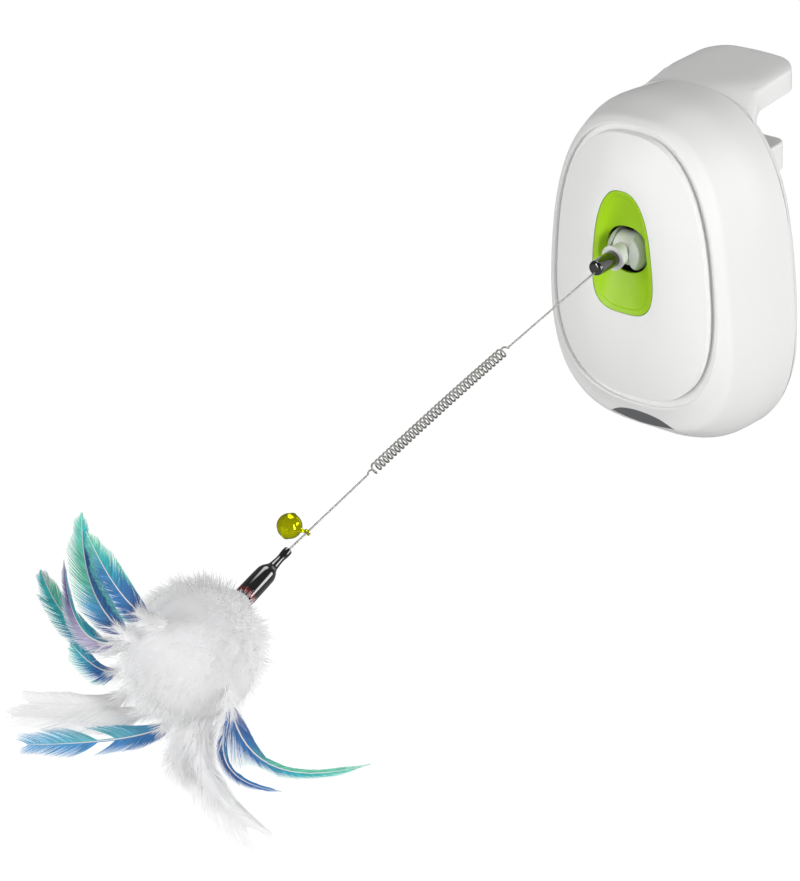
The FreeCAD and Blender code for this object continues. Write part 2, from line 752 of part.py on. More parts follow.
def tongue():
    wires = []
    for step in range(TONGUE_ROOT_STEPS + 1):
        share = step / TONGUE_ROOT_STEPS
        eased = share * share * (3 - 2 * share)
        half_width = TONGUE_ROOT_HALF_WIDTH + (TONGUE_HALF_WIDTH - TONGUE_ROOT_HALF_WIDTH) * eased
        side = TONGUE_ROOT_SIDE + (TONGUE_SIDE - TONGUE_ROOT_SIDE) * eased
        wires.append(tongue_section(SEAM_Y + TONGUE_WAIST * share, half_width, side, TONGUE_CROWN))
    tip = TIP_Y + TONGUE_UNDERCUT
    wires.append(tongue_section(tip, TONGUE_TIP_HALF_WIDTH, TONGUE_SIDE, TONGUE_CROWN))
    blade = loft(wires)
    edge = TONGUE_ROOT_HALF_WIDTH + TONGUE_UNDERCUT
    roof = TONGUE_CROWN + WALL
    plan = rounded_tip(edge, TONGUE_CORNER_RADIUS, SEAM_Y, TIP_Y, 0, roof)
    tip_plan = rounded_tip(TONGUE_TIP_HALF_WIDTH, TONGUE_CORNER_RADIUS, SEAM_Y, TIP_Y, 0, roof)
    behind_waist = block(-edge, edge, TIP_Y - TONGUE_CORNER_RADIUS, TIP_Y, 0, roof)
    return blade.common(plan.cut(behind_waist.cut(tip_plan)))


def rear_shell():
    rim = loft(
        [
            seam_egg(SEAM_Y),
            seam_egg(BACK_Y - REAR_ROUNDING, REAR_BEVEL / 2),
            seam_egg(BACK_Y - REAR_BEVEL, REAR_BEVEL + REAR_BEVEL),
            seam_egg(BACK_Y, REAR_ROUNDING),
        ]
    )
    shell = rim.fuse(tongue())
    arc_middle = TONGUE_ROOT_FILLET * (1 - math.sqrt(0.5))
    fillet_half_width = TONGUE_HALF_WIDTH - TONGUE_EDGE_RADIUS
    under_tongue = Vector(0, BACK_Y + TONGUE_ROOT_FILLET, 0)
    down_the_back = Vector(0, BACK_Y, -TONGUE_ROOT_FILLET)
    inside_low = down_the_back - Y_AXIS * WALL / 2
    inside_high = inside_low + Z_AXIS * TONGUE_ROOT_FILLET
    profile = [
        Part.makeLine(inside_high, under_tongue),
        Part.Arc(under_tongue, Vector(0, BACK_Y + arc_middle, -arc_middle), down_the_back).toShape(),
        Part.makeLine(down_the_back, inside_low),
        Part.makeLine(inside_low, inside_high),
    ]
    web = Part.Face(Part.Wire(profile))
    web.translate(X_AXIS * -fillet_half_width)
    shell = shell.fuse(web.extrude(X_AXIS * 2 * fillet_half_width))
    shell = shell.cut(prism(seam_egg(SEAM_Y, WALL), INNER_BACK_Y - SEAM_Y))
    lip = ring_prism(
        seam_egg(SEAM_Y - LIP_HEIGHT, WALL + FIT),
        seam_egg(SEAM_Y - LIP_HEIGHT, WALL + FIT + LIP_WALL),
        LIP_HEIGHT + INNER_BACK_Y - SEAM_Y,
    )
    shell = shell.fuse(lip)
    for x, z in post_places():
        post = rod(POST_RADIUS, Vector(x, SEAM_Y, z), Vector(x, BACK_Y, z))
        shell = shell.fuse(post)
    shell = shell.fuse(battery_bay()).fuse(door_pad())
    shell = shell.fuse(clamp_rails())
    shell = shell.fuse(switch_guard())
    for x, z in post_places():
        shell = shell.cut(rod(SCREW_RADIUS + 2 * BORE_CLEARANCE, Vector(x, SEAM_Y, z), Vector(x, BACK_Y, z)))
        seat = Vector(x, BACK_Y - SCREW_HEAD_HEIGHT, z)
        shell = shell.cut(rod(SCREW_HEAD_RADIUS + FIT, seat, Vector(x, BACK_Y, z)))
    shell = shell.cut(jaw_slot()).cut(bay_hollow()).cut(door_opening()).cut(switch_opening())
    shell = shell.cut(rod(SMALL_SCREW_RADIUS + BORE_CLEARANCE, door_screw_tip(), door_screw_head()))
    shell = shell.cut(rod_seats())
    for x, z in board_holes():
        start = Vector(x, BAY_FRONT_Y - BOARD_STANDOFF, z)
        shell = shell.fuse(rod(SMALL_POST_RADIUS, start, Vector(x, BAY_FRONT_Y, z)))
        hole_end = start + Y_AXIS * BOARD_STANDOFF
        shell = shell.cut(rod(SMALL_SCREW_RADIUS + BORE_CLEARANCE, start, hole_end))
    export("rear_shell", shell)


# Battery bay, closed by the door from the back
DOOR_FRONT_Y = BACK_Y - DOOR_THICKNESS
CELL_Y = DOOR_FRONT_Y - BAY_SIDE_ROOM - CELL_RADIUS
BAY_HALF_WIDTH = CELL_PITCH * (CELL_COUNT - 1) / 2 + CELL_RADIUS + BAY_SIDE_ROOM
BAY_INNER_FRONT_Y = CELL_Y - CELL_RADIUS - BAY_SIDE_ROOM
BAY_FRONT_Y = BAY_INNER_FRONT_Y - BAY_WALL
BAY_BOTTOM = SEAM_BOTTOM + BAY_RISE
CELL_BOTTOM = BAY_BOTTOM + CONTACT_ROOM
CELL_TOP = CELL_BOTTOM + CELL_LENGTH
BAY_TOP = CELL_TOP + CELL_NUB_HEIGHT + CONTACT_ROOM
BAY_ROOF_Z = BAY_TOP + BAY_WALL
DOOR_TOP = BAY_TOP - DOOR_BELOW_BAY_TOP
DOOR_BOTTOM = BAY_BOTTOM - DOOR_BELOW_BAY_BOTTOM
DOOR_SCREW_Z = DOOR_BOTTOM + DOOR_SCREW_ABOVE_BOTTOM
DOOR_SEAT_Y = DOOR_FRONT_Y - DOOR_GAP
BOARD_BACK_Y = BAY_FRONT_Y - BOARD_STANDOFF
BOARD_FRONT_Y = BOARD_BACK_Y - BOARD_THICKNESS


def battery_bay():
    side = BAY_HALF_WIDTH + BAY_WALL
    return block(-side, side, BAY_FRONT_Y, INNER_BACK_Y, BAY_BOTTOM - BAY_WALL, BAY_ROOF_Z)


def bay_hollow():
    return block(
        -BAY_HALF_WIDTH, BAY_HALF_WIDTH, BAY_INNER_FRONT_Y, INNER_BACK_Y, BAY_BOTTOM, BAY_TOP
    )


def door_pad():
    pad_half_width = DOOR_HALF_WIDTH + DOOR_GAP
    pad = block(
        -pad_half_width,
        pad_half_width,
        DOOR_SEAT_Y - DOOR_PAD_WALL,
        INNER_BACK_Y,
        DOOR_BOTTOM - DOOR_GAP,
        BAY_BOTTOM,
    )
    boss = rod(SMALL_POST_RADIUS, door_screw_tip(), Vector(0, DOOR_SEAT_Y, DOOR_SCREW_Z))
    return pad.fuse(boss)


def door_screw_head():
    return Vector(0, BACK_Y, DOOR_SCREW_Z)


def door_screw_tip():
    return Vector(0, DOOR_SEAT_Y - DOOR_PAD_WALL - DOOR_BOSS_LENGTH, DOOR_SCREW_Z)


def plate_with_corners(half_width, z_low, z_high, y_low, y_high, radius):
    plate = block(-half_width, half_width, y_low, y_high, z_low, z_high)
    corners = []
    for edge in plate.Edges:
        if edge.BoundBox.YLength > (y_high - y_low) / 2:
            corners.append(edge)
    return plate.makeFillet(radius, corners)


def door_opening():
    return plate_with_corners(
        DOOR_HALF_WIDTH + DOOR_GAP,
        DOOR_BOTTOM - DOOR_GAP,
        DOOR_TOP + DOOR_GAP,
        DOOR_SEAT_Y,
        BACK_Y,
        DOOR_CORNER_RADIUS + DOOR_GAP,
    )


def battery_door():
    door = plate_with_corners(
        DOOR_HALF_WIDTH, DOOR_BOTTOM, DOOR_TOP, DOOR_FRONT_Y, BACK_Y, DOOR_CORNER_RADIUS
    )
    for side in (-1, 1):
        x = side * CELL_PITCH / 2
        root = block(
            x - DOOR_TAB_HALF_WIDTH,
            x + DOOR_TAB_HALF_WIDTH,
            INNER_BACK_Y - DOOR_TAB_THICKNESS - FIT,
            DOOR_FRONT_Y,
            DOOR_TOP - DOOR_TAB_THICKNESS,
            DOOR_TOP,
        )
        tab = block(
            x - DOOR_TAB_HALF_WIDTH,
            x + DOOR_TAB_HALF_WIDTH,
            INNER_BACK_Y - DOOR_TAB_THICKNESS - FIT,
            INNER_BACK_Y - FIT,
            DOOR_TOP - DOOR_TAB_THICKNESS,
            DOOR_TOP + DOOR_TAB_DROP,
        )
        door = door.fuse([root, tab])
    for row in range(DOOR_RIB_COUNT):
        z = DOOR_TOP - (row + 2) * DOOR_RIB_PITCH
        groove = block(
            -DOOR_RIB_HALF_WIDTH,
            DOOR_RIB_HALF_WIDTH,
            BACK_Y - DOOR_RIB_DEPTH,
            BACK_Y,
            z - DOOR_RIB_DEPTH,
            z + DOOR_RIB_DEPTH,
        )
        door = door.cut(groove)
    door = door.cut(rod(SMALL_SCREW_RADIUS + 2 * BORE_CLEARANCE, door_screw_tip(), door_screw_head()))
    seat = door_screw_head() - Y_AXIS * SMALL_HEAD_HEIGHT
    door = door.cut(rod(SMALL_HEAD_RADIUS + FIT, seat, door_screw_head()))
    export("battery_door", door)


# Screws are seated by the face under their head, and point along the given direction
def screw(radius, grip, head_radius, head_height, under_head, inward):
    shank = rod(radius, under_head, under_head + inward * grip)
    head = rod(head_radius, under_head - inward * head_height, under_head)
    return shank.fuse(head)


def screws():
    housing = []
    for x, z in post_places():
        seat = Vector(x, BACK_Y - SCREW_HEAD_HEIGHT, z)
        housing.append(screw(SCREW_RADIUS, SCREW_GRIP, SCREW_HEAD_RADIUS, SCREW_HEAD_HEIGHT, seat, -Y_AXIS))
    export("housing_screws", Part.makeCompound(housing))
    seat = door_screw_head() - Y_AXIS * SMALL_HEAD_HEIGHT
    door = screw(SMALL_SCREW_RADIUS, SMALL_GRIP, SMALL_HEAD_RADIUS, SMALL_HEAD_HEIGHT, seat, -Y_AXIS)
    export("door_screw", door)
    frame = []
    for x, z in ear_places():
        seat = Vector(x, EAR_BACK_Y, z)
        grip = EAR_THICKNESS + SMALL_GRIP / 2
        frame.append(screw(SMALL_SCREW_RADIUS, grip, SMALL_HEAD_RADIUS, SMALL_HEAD_HEIGHT, seat, -Y_AXIS))
    export("frame_screws", Part.makeCompound(frame))
    board = []
    for x, z in board_holes():
        seat = Vector(x, BOARD_FRONT_Y, z)
        grip = BOARD_THICKNESS + BOARD_STANDOFF - FIT
        board.append(screw(SMALL_SCREW_RADIUS, grip, SMALL_HEAD_RADIUS, SMALL_HEAD_HEIGHT, seat, Y_AXIS))
    export("board_screws", Part.makeCompound(board))


def cells():
    group = []
    for number in range(CELL_COUNT):
        x = (number - (CELL_COUNT - 1) / 2) * CELL_PITCH
        can = rod(CELL_RADIUS, Vector(x, CELL_Y, CELL_BOTTOM), Vector(x, CELL_Y, CELL_TOP))
        nub = rod(
            CELL_NUB_RADIUS, Vector(x, CELL_Y, CELL_TOP), Vector(x, CELL_Y, CELL_TOP + CELL_NUB_HEIGHT)
        )
        group.append(can.fuse(nub))
    export("battery_cells", Part.makeCompound(group))


# A contact is a strip folded in a V, flat on the bay wall and sprung against the cell
def contact(x, wall_z, cell_z):
    toward = math.copysign(1.0, cell_z - wall_z)
    half = CONTACT_HALF_WIDTH
    thick = CONTACT_THICKNESS * toward
    low = wall_z
    crest = cell_z - thick
    outline = [
        Vector(x - half, CELL_Y - half, low),
        Vector(x - half, CELL_Y + half, low),
        Vector(x - half, CELL_Y + half, low + thick),
        Vector(x - half, CELL_Y, crest + thick),
        Vector(x - half, CELL_Y - half, crest),
        Vector(x - half, CELL_Y - half, crest - thick),
        Vector(x - half, CELL_Y + half - CONTACT_THICKNESS * 4, low + thick),
        Vector(x - half, CELL_Y - half, low + thick),
    ]
    face = Part.Face(Part.makePolygon(outline + [outline[0]]))
    return face.extrude(X_AXIS * 2 * half)


def contacts():
    group = []
    for number in range(CELL_COUNT):
        x = (number - (CELL_COUNT - 1) / 2) * CELL_PITCH
        group.append(contact(x, BAY_BOTTOM, CELL_BOTTOM))
        group.append(contact(x, BAY_TOP, CELL_TOP + CELL_NUB_HEIGHT))
    export("cell_contacts", Part.makeCompound(group))


# Clamp: the jaw outside, and inside a slide plate with a spring on a rod
JAW_FRONT_Y = BACK_Y + FIT * 2
JAW_BACK_Y = JAW_FRONT_Y + JAW_DEPTH
JAW_BOTTOM_Z = JAW_TOP_Z - JAW_HEIGHT
STEM_TOP_Z = JAW_TOP_Z - (JAW_HEIGHT - JAW_STEM_HEIGHT) / 2
STEM_BOTTOM_Z = STEM_TOP_Z - JAW_STEM_HEIGHT
SLIDE_BACK_Y = INNER_BACK_Y - FIT
SLIDE_FRONT_Y = SLIDE_BACK_Y - SLIDE_THICKNESS
SLIDE_TOP_Z = STEM_TOP_Z + SLIDE_COVER
SLIDE_BOTTOM_Z = STEM_BOTTOM_Z - CLAMP_TRAVEL - DOOR_GAP
CLAMP_ROD_Y = SLIDE_FRONT_Y - SLIDE_LUG_REACH / 2


def clamp_jaw():
    jaw = rounded_tip(JAW_HALF_WIDTH, JAW_CORNER_RADIUS, JAW_FRONT_Y, JAW_BACK_Y, JAW_BOTTOM_Z, JAW_TOP_Z)
    soft = []
    for edge in jaw.Edges:
        flat = edge.BoundBox.ZLength < FIT
        if flat and edge.BoundBox.YMax > JAW_FRONT_Y + FIT:
            soft.append(edge)
    jaw = jaw.makeFillet(JAW_EDGE_RADIUS, soft)
    stem = block(
        -JAW_STEM_HALF_WIDTH,
        JAW_STEM_HALF_WIDTH,
        SLIDE_BACK_Y,
        JAW_FRONT_Y + JAW_EDGE_RADIUS,
        STEM_BOTTOM_Z,
        STEM_TOP_Z,
    )
    export("clamp_jaw", jaw.fuse(stem))


def jaw_slot():
    side = JAW_STEM_HALF_WIDTH + DOOR_GAP
    return block(
        -side, side, INNER_BACK_Y, BACK_Y, STEM_BOTTOM_Z - CLAMP_TRAVEL - DOOR_GAP, STEM_TOP_Z + DOOR_GAP
    )


def clamp_slide():
    plate = block(
        -SLIDE_HALF_WIDTH, SLIDE_HALF_WIDTH, SLIDE_FRONT_Y, SLIDE_BACK_Y, SLIDE_BOTTOM_Z, SLIDE_TOP_Z
    )
    lug = block(
        -SLIDE_LUG_HALF_WIDTH,
        SLIDE_LUG_HALF_WIDTH,
        SLIDE_FRONT_Y - SLIDE_LUG_REACH,
        SLIDE_FRONT_Y,
        STEM_TOP_Z - SLIDE_LUG_THICKNESS,
        STEM_TOP_Z,
    )
    plate = plate.fuse(lug)
    bore_low = Vector(0, CLAMP_ROD_Y, STEM_TOP_Z - SLIDE_LUG_THICKNESS)
    bore_high = Vector(0, CLAMP_ROD_Y, STEM_TOP_Z)
    export("clamp_slide", plate.cut(rod(CLAMP_ROD_RADIUS + RUNNING_CLEARANCE, bore_low, bore_high)))


def clamp_rod():
    low = Vector(0, CLAMP_ROD_Y, BAY_ROOF_Z - BAY_WALL)
    high = Vector(0, CLAMP_ROD_Y, CLAMP_ROD_TOP)
    export("clamp_rod", rod(CLAMP_ROD_RADIUS, low, high))


def clamp_spring():
    low = Vector(0, CLAMP_ROD_Y, BAY_ROOF_Z)
    high = Vector(0, CLAMP_ROD_Y, STEM_TOP_Z - SLIDE_LUG_THICKNESS)
    outer = rod(CLAMP_SPRING_RADIUS, low, high)
    export("clamp_spring", outer.cut(rod(CLAMP_SPRING_RADIUS - CLAMP_SPRING_WALL, low, high)))


def rod_seats():
    low = rod(
        CLAMP_ROD_RADIUS, Vector(0, CLAMP_ROD_Y, BAY_TOP), Vector(0, CLAMP_ROD_Y, BAY_ROOF_Z)
    )
    high = rod(
        CLAMP_ROD_RADIUS,
        Vector(0, CLAMP_ROD_Y, CLAMP_ROD_TOP - SLIDE_LUG_THICKNESS),
        Vector(0, CLAMP_ROD_Y, CLAMP_ROD_TOP),
    )
    return low.fuse(high)


def clamp_rails():
    rails = []
    for side in (-1, 1):
        inner = side * (SLIDE_HALF_WIDTH + FIT)
        outer = side * (SLIDE_HALF_WIDTH + FIT + SLIDE_RAIL_WIDTH)
        hook = side * (SLIDE_HALF_WIDTH + FIT - SLIDE_RAIL_HOOK)
        hook_back_y = SLIDE_FRONT_Y - FIT
        hook_front_y = hook_back_y - SLIDE_RAIL_WIDTH
        rails.append(block(inner, outer, hook_front_y, INNER_BACK_Y, BAY_ROOF_Z, CLAMP_ROD_TOP))
        rails.append(block(hook, outer, hook_front_y, hook_back_y, BAY_ROOF_Z, CLAMP_ROD_TOP))
    bridge_front_y = CLAMP_ROD_Y - CLAMP_ROD_RADIUS - SLIDE_RAIL_WIDTH
    bridge = block(
        -SLIDE_HALF_WIDTH - FIT,
        SLIDE_HALF_WIDTH + FIT,
        bridge_front_y,
        SLIDE_FRONT_Y - FIT,
        CLAMP_ROD_TOP - SLIDE_LUG_THICKNESS,
        CLAMP_ROD_TOP,
    )
    return rails[0].fuse(rails[1:] + [bridge])


# Power switch on the back wall
SWITCH_BACK_Y = INNER_BACK_Y
SWITCH_FRONT_Y = SWITCH_BACK_Y - SWITCH_DEPTH
KNOB_Z = SWITCH_Z - SWITCH_TRAVEL / 2


def switch_guard():
    outer = block(
        SWITCH_X - SWITCH_HALF_WIDTH - FIT - LIP_WALL,
        SWITCH_X + SWITCH_HALF_WIDTH + FIT + LIP_WALL,
        SWITCH_BACK_Y - LIP_HEIGHT,
        SWITCH_BACK_Y,
        SWITCH_Z - SWITCH_HALF_HEIGHT - FIT - LIP_WALL,
        SWITCH_Z + SWITCH_HALF_HEIGHT + FIT + LIP_WALL,
    )
    inner = block(
        SWITCH_X - SWITCH_HALF_WIDTH - FIT,
        SWITCH_X + SWITCH_HALF_WIDTH + FIT,
        SWITCH_BACK_Y - LIP_HEIGHT,
        SWITCH_BACK_Y,
        SWITCH_Z - SWITCH_HALF_HEIGHT - FIT,
        SWITCH_Z + SWITCH_HALF_HEIGHT + FIT,
    )
    return outer.cut(inner)


def switch_opening():
    return block(
        SWITCH_X - KNOB_HALF_WIDTH - DOOR_GAP,
        SWITCH_X + KNOB_HALF_WIDTH + DOOR_GAP,
        SWITCH_BACK_Y,
        BACK_Y,
        SWITCH_Z - SWITCH_TRAVEL / 2 - KNOB_HALF_HEIGHT - DOOR_GAP,
        SWITCH_Z + SWITCH_TRAVEL / 2 + KNOB_HALF_HEIGHT + DOOR_GAP,
    )


def power_switch():
    body = block(
        SWITCH_X - SWITCH_HALF_WIDTH,
        SWITCH_X + SWITCH_HALF_WIDTH,
        SWITCH_FRONT_Y,
        SWITCH_BACK_Y,
        SWITCH_Z - SWITCH_HALF_HEIGHT,
        SWITCH_Z + SWITCH_HALF_HEIGHT,
    )
    pocket = block(
        SWITCH_X - KNOB_HALF_WIDTH - FIT,
        SWITCH_X + KNOB_HALF_WIDTH + FIT,
        SWITCH_BACK_Y - LIP_WALL - FIT,
        SWITCH_BACK_Y,
        SWITCH_Z - SWITCH_TRAVEL / 2 - KNOB_HALF_HEIGHT - FIT,
        SWITCH_Z + SWITCH_TRAVEL / 2 + KNOB_HALF_HEIGHT + FIT,
    )
    export("switch_body", body.cut(pocket))
    knob = block(
        SWITCH_X - KNOB_HALF_WIDTH,
        SWITCH_X + KNOB_HALF_WIDTH,
        SWITCH_BACK_Y - LIP_WALL,
        BACK_Y + KNOB_PROUD,
        KNOB_Z - KNOB_HALF_HEIGHT,
        KNOB_Z + KNOB_HALF_HEIGHT,
    )
    for row in range(KNOB_RIB_COUNT):
        z = KNOB_Z + (row - (KNOB_RIB_COUNT - 1) / 2) * KNOB_RIB_PITCH
        groove = block(
            SWITCH_X - KNOB_HALF_WIDTH,
            SWITCH_X + KNOB_HALF_WIDTH,
            BACK_Y + KNOB_PROUD - KNOB_RIB_DEPTH,
            BACK_Y + KNOB_PROUD,
            z - KNOB_RIB_DEPTH,
            z + KNOB_RIB_DEPTH,
        )
        knob = knob.cut(groove)
    export("switch_knob", knob)


# Circuit board on the bay's front wall
def board_holes():
    x = BOARD_HALF_WIDTH - BOARD_HOLE_INSET
    top = BOARD_TOP - BOARD_HOLE_INSET
    bottom = BOARD_TOP - BOARD_HEIGHT + BOARD_HOLE_INSET
    return [(x, top), (-x, top), (x, bottom), (-x, bottom)]


def circuit_board():
    board = block(
        -BOARD_HALF_WIDTH,
        BOARD_HALF_WIDTH,
        BOARD_FRONT_Y,
        BOARD_BACK_Y,
        BOARD_TOP - BOARD_HEIGHT,
        BOARD_TOP,
    )
    for x, z in board_holes():
        hole = rod(
            SMALL_SCREW_RADIUS + BORE_CLEARANCE, Vector(x, BOARD_FRONT_Y, z), Vector(x, BOARD_BACK_Y, z)
        )
        board = board.cut(hole)
    export("circuit_board", board)
    middle = BOARD_TOP - BOARD_HEIGHT / 2
    chip = block(
        -CHIP_WIDTH / 2,
        CHIP_WIDTH / 2,
        BOARD_FRONT_Y - CHIP_THICKNESS,
        BOARD_FRONT_Y,
        middle - CHIP_HEIGHT / 2,
        middle + CHIP_HEIGHT / 2,
    )
    export("control_chip", chip)
    cans = []
    for side in (-1, 1):
        foot = Vector(side * CAPACITOR_X, BOARD_FRONT_Y, middle)
        cans.append(rod(CAPACITOR_RADIUS, foot, foot - Y_AXIS * CAPACITOR_HEIGHT))
    export("capacitors", Part.makeCompound(cans))
    plugs = []
    for offset in (-1, 0, 1):
        x = offset * CONNECTOR_X / 2
        plug = block(
            x - CONNECTOR_WIDTH / 2,
            x + CONNECTOR_WIDTH / 2,
            BOARD_FRONT_Y - CONNECTOR_DEPTH,
            BOARD_FRONT_Y,
            BOARD_TOP - CONNECTOR_HEIGHT,
            BOARD_TOP,
        )
        plugs.append(plug)
    export("wire_connectors", Part.makeCompound(plugs))


# Motion sensor in its cup behind the window
def sensor_point(depth):
    tilt = math.radians(WINDOW_TILT)
    outward = Vector(0, -math.cos(tilt), -math.sin(tilt))
    return Vector(0, WINDOW_Y, WINDOW_Z) - outward * depth


def motion_sensor():
    front = sensor_point(SENSOR_SETBACK)
    brim = sensor_point(SENSOR_SETBACK + SENSOR_LENGTH)
    base = sensor_point(SENSOR_SETBACK + SENSOR_LENGTH + SENSOR_BRIM)
    can = rod(SENSOR_RADIUS, front, brim).fuse(rod(SENSOR_BRIM_RADIUS, brim, base))
    export("motion_sensor", can)
    rear = sensor_point(SENSOR_SETBACK + SENSOR_LENGTH + SENSOR_BRIM + HOLDER_WALL)
    lip = sensor_point(SENSOR_SETBACK + SENSOR_LENGTH - HOLDER_LENGTH)
    cup = rod(SENSOR_BRIM_RADIUS + HOLDER_WALL, lip, rear)
    cup = cup.cut(rod(SENSOR_BRIM_RADIUS + BORE_CLEARANCE, lip, base))
    room = SENSOR_BRIM_RADIUS + SENSOR_LENGTH + HOLDER_LENGTH
    cup = cup.cut(
        block(-room, room, BOARD_FRONT_Y, BOARD_FRONT_Y + room, WINDOW_Z - room, WINDOW_Z + 2 * room)
    )
    export("sensor_holder", cup)


# Spur gears lie flat on their axis: straight-flanked teeth on a root disc
def pitch_radius(module, teeth):
    return module * teeth / 2


def gear_outline(module, teeth, first, count):
    pitch = pitch_radius(module, teeth)
    tip = pitch + module * TOOTH_RISE
    root = pitch - module * TOOTH_DEPTH
    step = 2 * math.pi / teeth
    root_half = step * TOOTH_ROOT_SHARE
    tip_half = step * TOOTH_PITCH_SHARE - (TOOTH_TAPER * module + GEAR_BACKLASH) / (2 * pitch)
    points = []
    for number in range(count):
        middle = first + step * number
        points.append((root, middle - root_half))
        points.append((tip, middle - tip_half))
        points.append((tip, middle + tip_half))
        points.append((root, middle + root_half))
    return points


def gear_body(module, teeth, thickness, phase=0.0):
    corners = []
    for radius, angle in gear_outline(module, teeth, phase, teeth):
        corners.append(Vector(radius * math.cos(angle), radius * math.sin(angle), 0))
    face = Part.Face(Part.makePolygon(corners + [corners[0]]))
    return face.extrude(Z_AXIS * thickness)


# A sector keeps the teeth within an angle of its middle, which points along local +X
def sector_body(module, teeth, half_angle, thickness):
    step = 2 * math.pi / teeth
    side_count = int(half_angle / step)
    corners = [Vector(0, 0, 0)]
    for radius, angle in gear_outline(module, teeth, -side_count * step, 2 * side_count + 1):
        corners.append(Vector(radius * math.cos(angle), radius * math.sin(angle), 0))
    face = Part.Face(Part.makePolygon(corners + [corners[0]]))
    return face.extrude(Z_AXIS * thickness)


# Stands a flat gear up so that its axis is X and its local +X points to the back
def turned_to_x(shape):
    shape.rotate(Vector(0, 0, 0), Z_AXIS, 90)
    shape.rotate(Vector(0, 0, 0), Y_AXIS, 90)
    return shape


def moved(shape, place):
    shape.translate(place)
    return shape


PAN_CENTRES = pitch_radius(GEAR_MODULE, PAN_SECTOR_TEETH + IDLER_SMALL_TEETH)
TILT_CENTRES = pitch_radius(GEAR_MODULE, TILT_SECTOR_TEETH + IDLER_SMALL_TEETH)
PAN_FINE_CENTRES = pitch_radius(FINE_MODULE, PAN_IDLER_LARGE_TEETH + PAN_PINION_TEETH)
TILT_FINE_CENTRES = pitch_radius(FINE_MODULE, TILT_IDLER_LARGE_TEETH + TILT_PINION_TEETH)
PAN_IDLER = Vector(0, BALL_Y + PAN_CENTRES, 0)
PAN_MOTOR = PAN_IDLER + Vector(PAN_FINE_CENTRES, 0, 0)
TILT_IDLER = Vector(0, BALL_Y + TILT_CENTRES, BALL_Z)
TILT_MOTOR = TILT_IDLER + Vector(0, 0, TILT_FINE_CENTRES)
YOKE_OUTER = SLOT_HALF_WIDTH + RUNNING_CLEARANCE + YOKE_WALL
YOKE_INNER = SLOT_HALF_WIDTH + RUNNING_CLEARANCE


def ball_cheeks():
    ball = Part.makeSphere(BALL_RADIUS, BALL)
    for side, name in ((1, "ball_cheek_right"), (-1, "ball_cheek_left")):
        keep = block(
            side * SLOT_HALF_WIDTH,
            side * BALL_RADIUS,
            BALL_Y - BALL_RADIUS,
            BALL_Y + BALL_BACK,
            BALL_Z - BALL_RADIUS,
            BALL_Z + BALL_RADIUS,
        )
        start = Vector(side * SLOT_HALF_WIDTH, BALL_Y, BALL_Z)
        end = Vector(side * TILT_PIN_HALF_LENGTH, BALL_Y, BALL_Z)
        export(name, ball.common(keep).cut(rod(TILT_PIN_RADIUS, start, end)))


def tilt_pin():
    reach = X_AXIS * TILT_PIN_HALF_LENGTH
    export("tilt_pin", rod(TILT_PIN_RADIUS, BALL - reach, BALL + reach))


def pan_yoke():
    bridge_high = BRIDGE_OFFSET + YOKE_WALL
    sides = []
    for side in (-1, 1):
        arm = block(
            side * YOKE_INNER,
            side * YOKE_OUTER,
            BALL_Y + BALL_BACK,
            BALL_Y + YOKE_REACH,
            BALL_Z - bridge_high,
            BALL_Z + bridge_high,
        )
        sides.append(arm)
    for side in (-1, 1):
        inner_z = BALL_Z + side * BRIDGE_OFFSET
        outer_z = BALL_Z + side * bridge_high
        bridge = block(
            -YOKE_OUTER, YOKE_OUTER, BALL_Y + BALL_BACK, BALL_Y + YOKE_BRIDGE_REACH, inner_z, outer_z
        )
        tab = block(-YOKE_NOSE_RADIUS, YOKE_NOSE_RADIUS, BALL_Y, BALL_Y + BALL_BACK, inner_z, outer_z)
        nose = rod(YOKE_NOSE_RADIUS, Vector(0, BALL_Y, inner_z), Vector(0, BALL_Y, outer_z))
        sides.extend([bridge, tab, nose])
    top_pin_end = FRAME_TOP_Z + FRAME_PLATE
    bottom_pin_end = FRAME_BOTTOM_Z - FRAME_PLATE
    sides.append(rod(PIN_RADIUS, Vector(0, BALL_Y, BALL_Z + bridge_high), Vector(0, BALL_Y, top_pin_end)))
    sides.append(rod(PIN_RADIUS, Vector(0, BALL_Y, PAN_GEAR_TOP), Vector(0, BALL_Y, bottom_pin_end)))
    yoke = sides[0].fuse(sides[1:]).removeSplitter()
    half_angle = math.radians(PAN_LIMIT + 2 * SECTOR_HALF_ANGLE_MARGIN)
    sector = sector_body(GEAR_MODULE, PAN_SECTOR_TEETH, half_angle, SECTOR_THICKNESS)
    sector.rotate(Vector(0, 0, 0), Z_AXIS, 90)
    sector = moved(sector, Vector(0, BALL_Y, PAN_GEAR_BOTTOM))
    boss = rod(YOKE_NOSE_RADIUS, Vector(0, BALL_Y, PAN_GEAR_BOTTOM), Vector(0, BALL_Y, PAN_GEAR_TOP))
    yoke = yoke.fuse([sector, boss])
    axle_reach = X_AXIS * YOKE_OUTER
    yoke = yoke.cut(rod(AXLE_RADIUS, TILT_IDLER - axle_reach, TILT_IDLER + axle_reach))
    motor_bore = rod(MOTOR_BOSS_RADIUS + FIT, TILT_MOTOR, TILT_MOTOR + axle_reach)
    yoke = yoke.cut(motor_bore)
    export("pan_yoke", yoke)


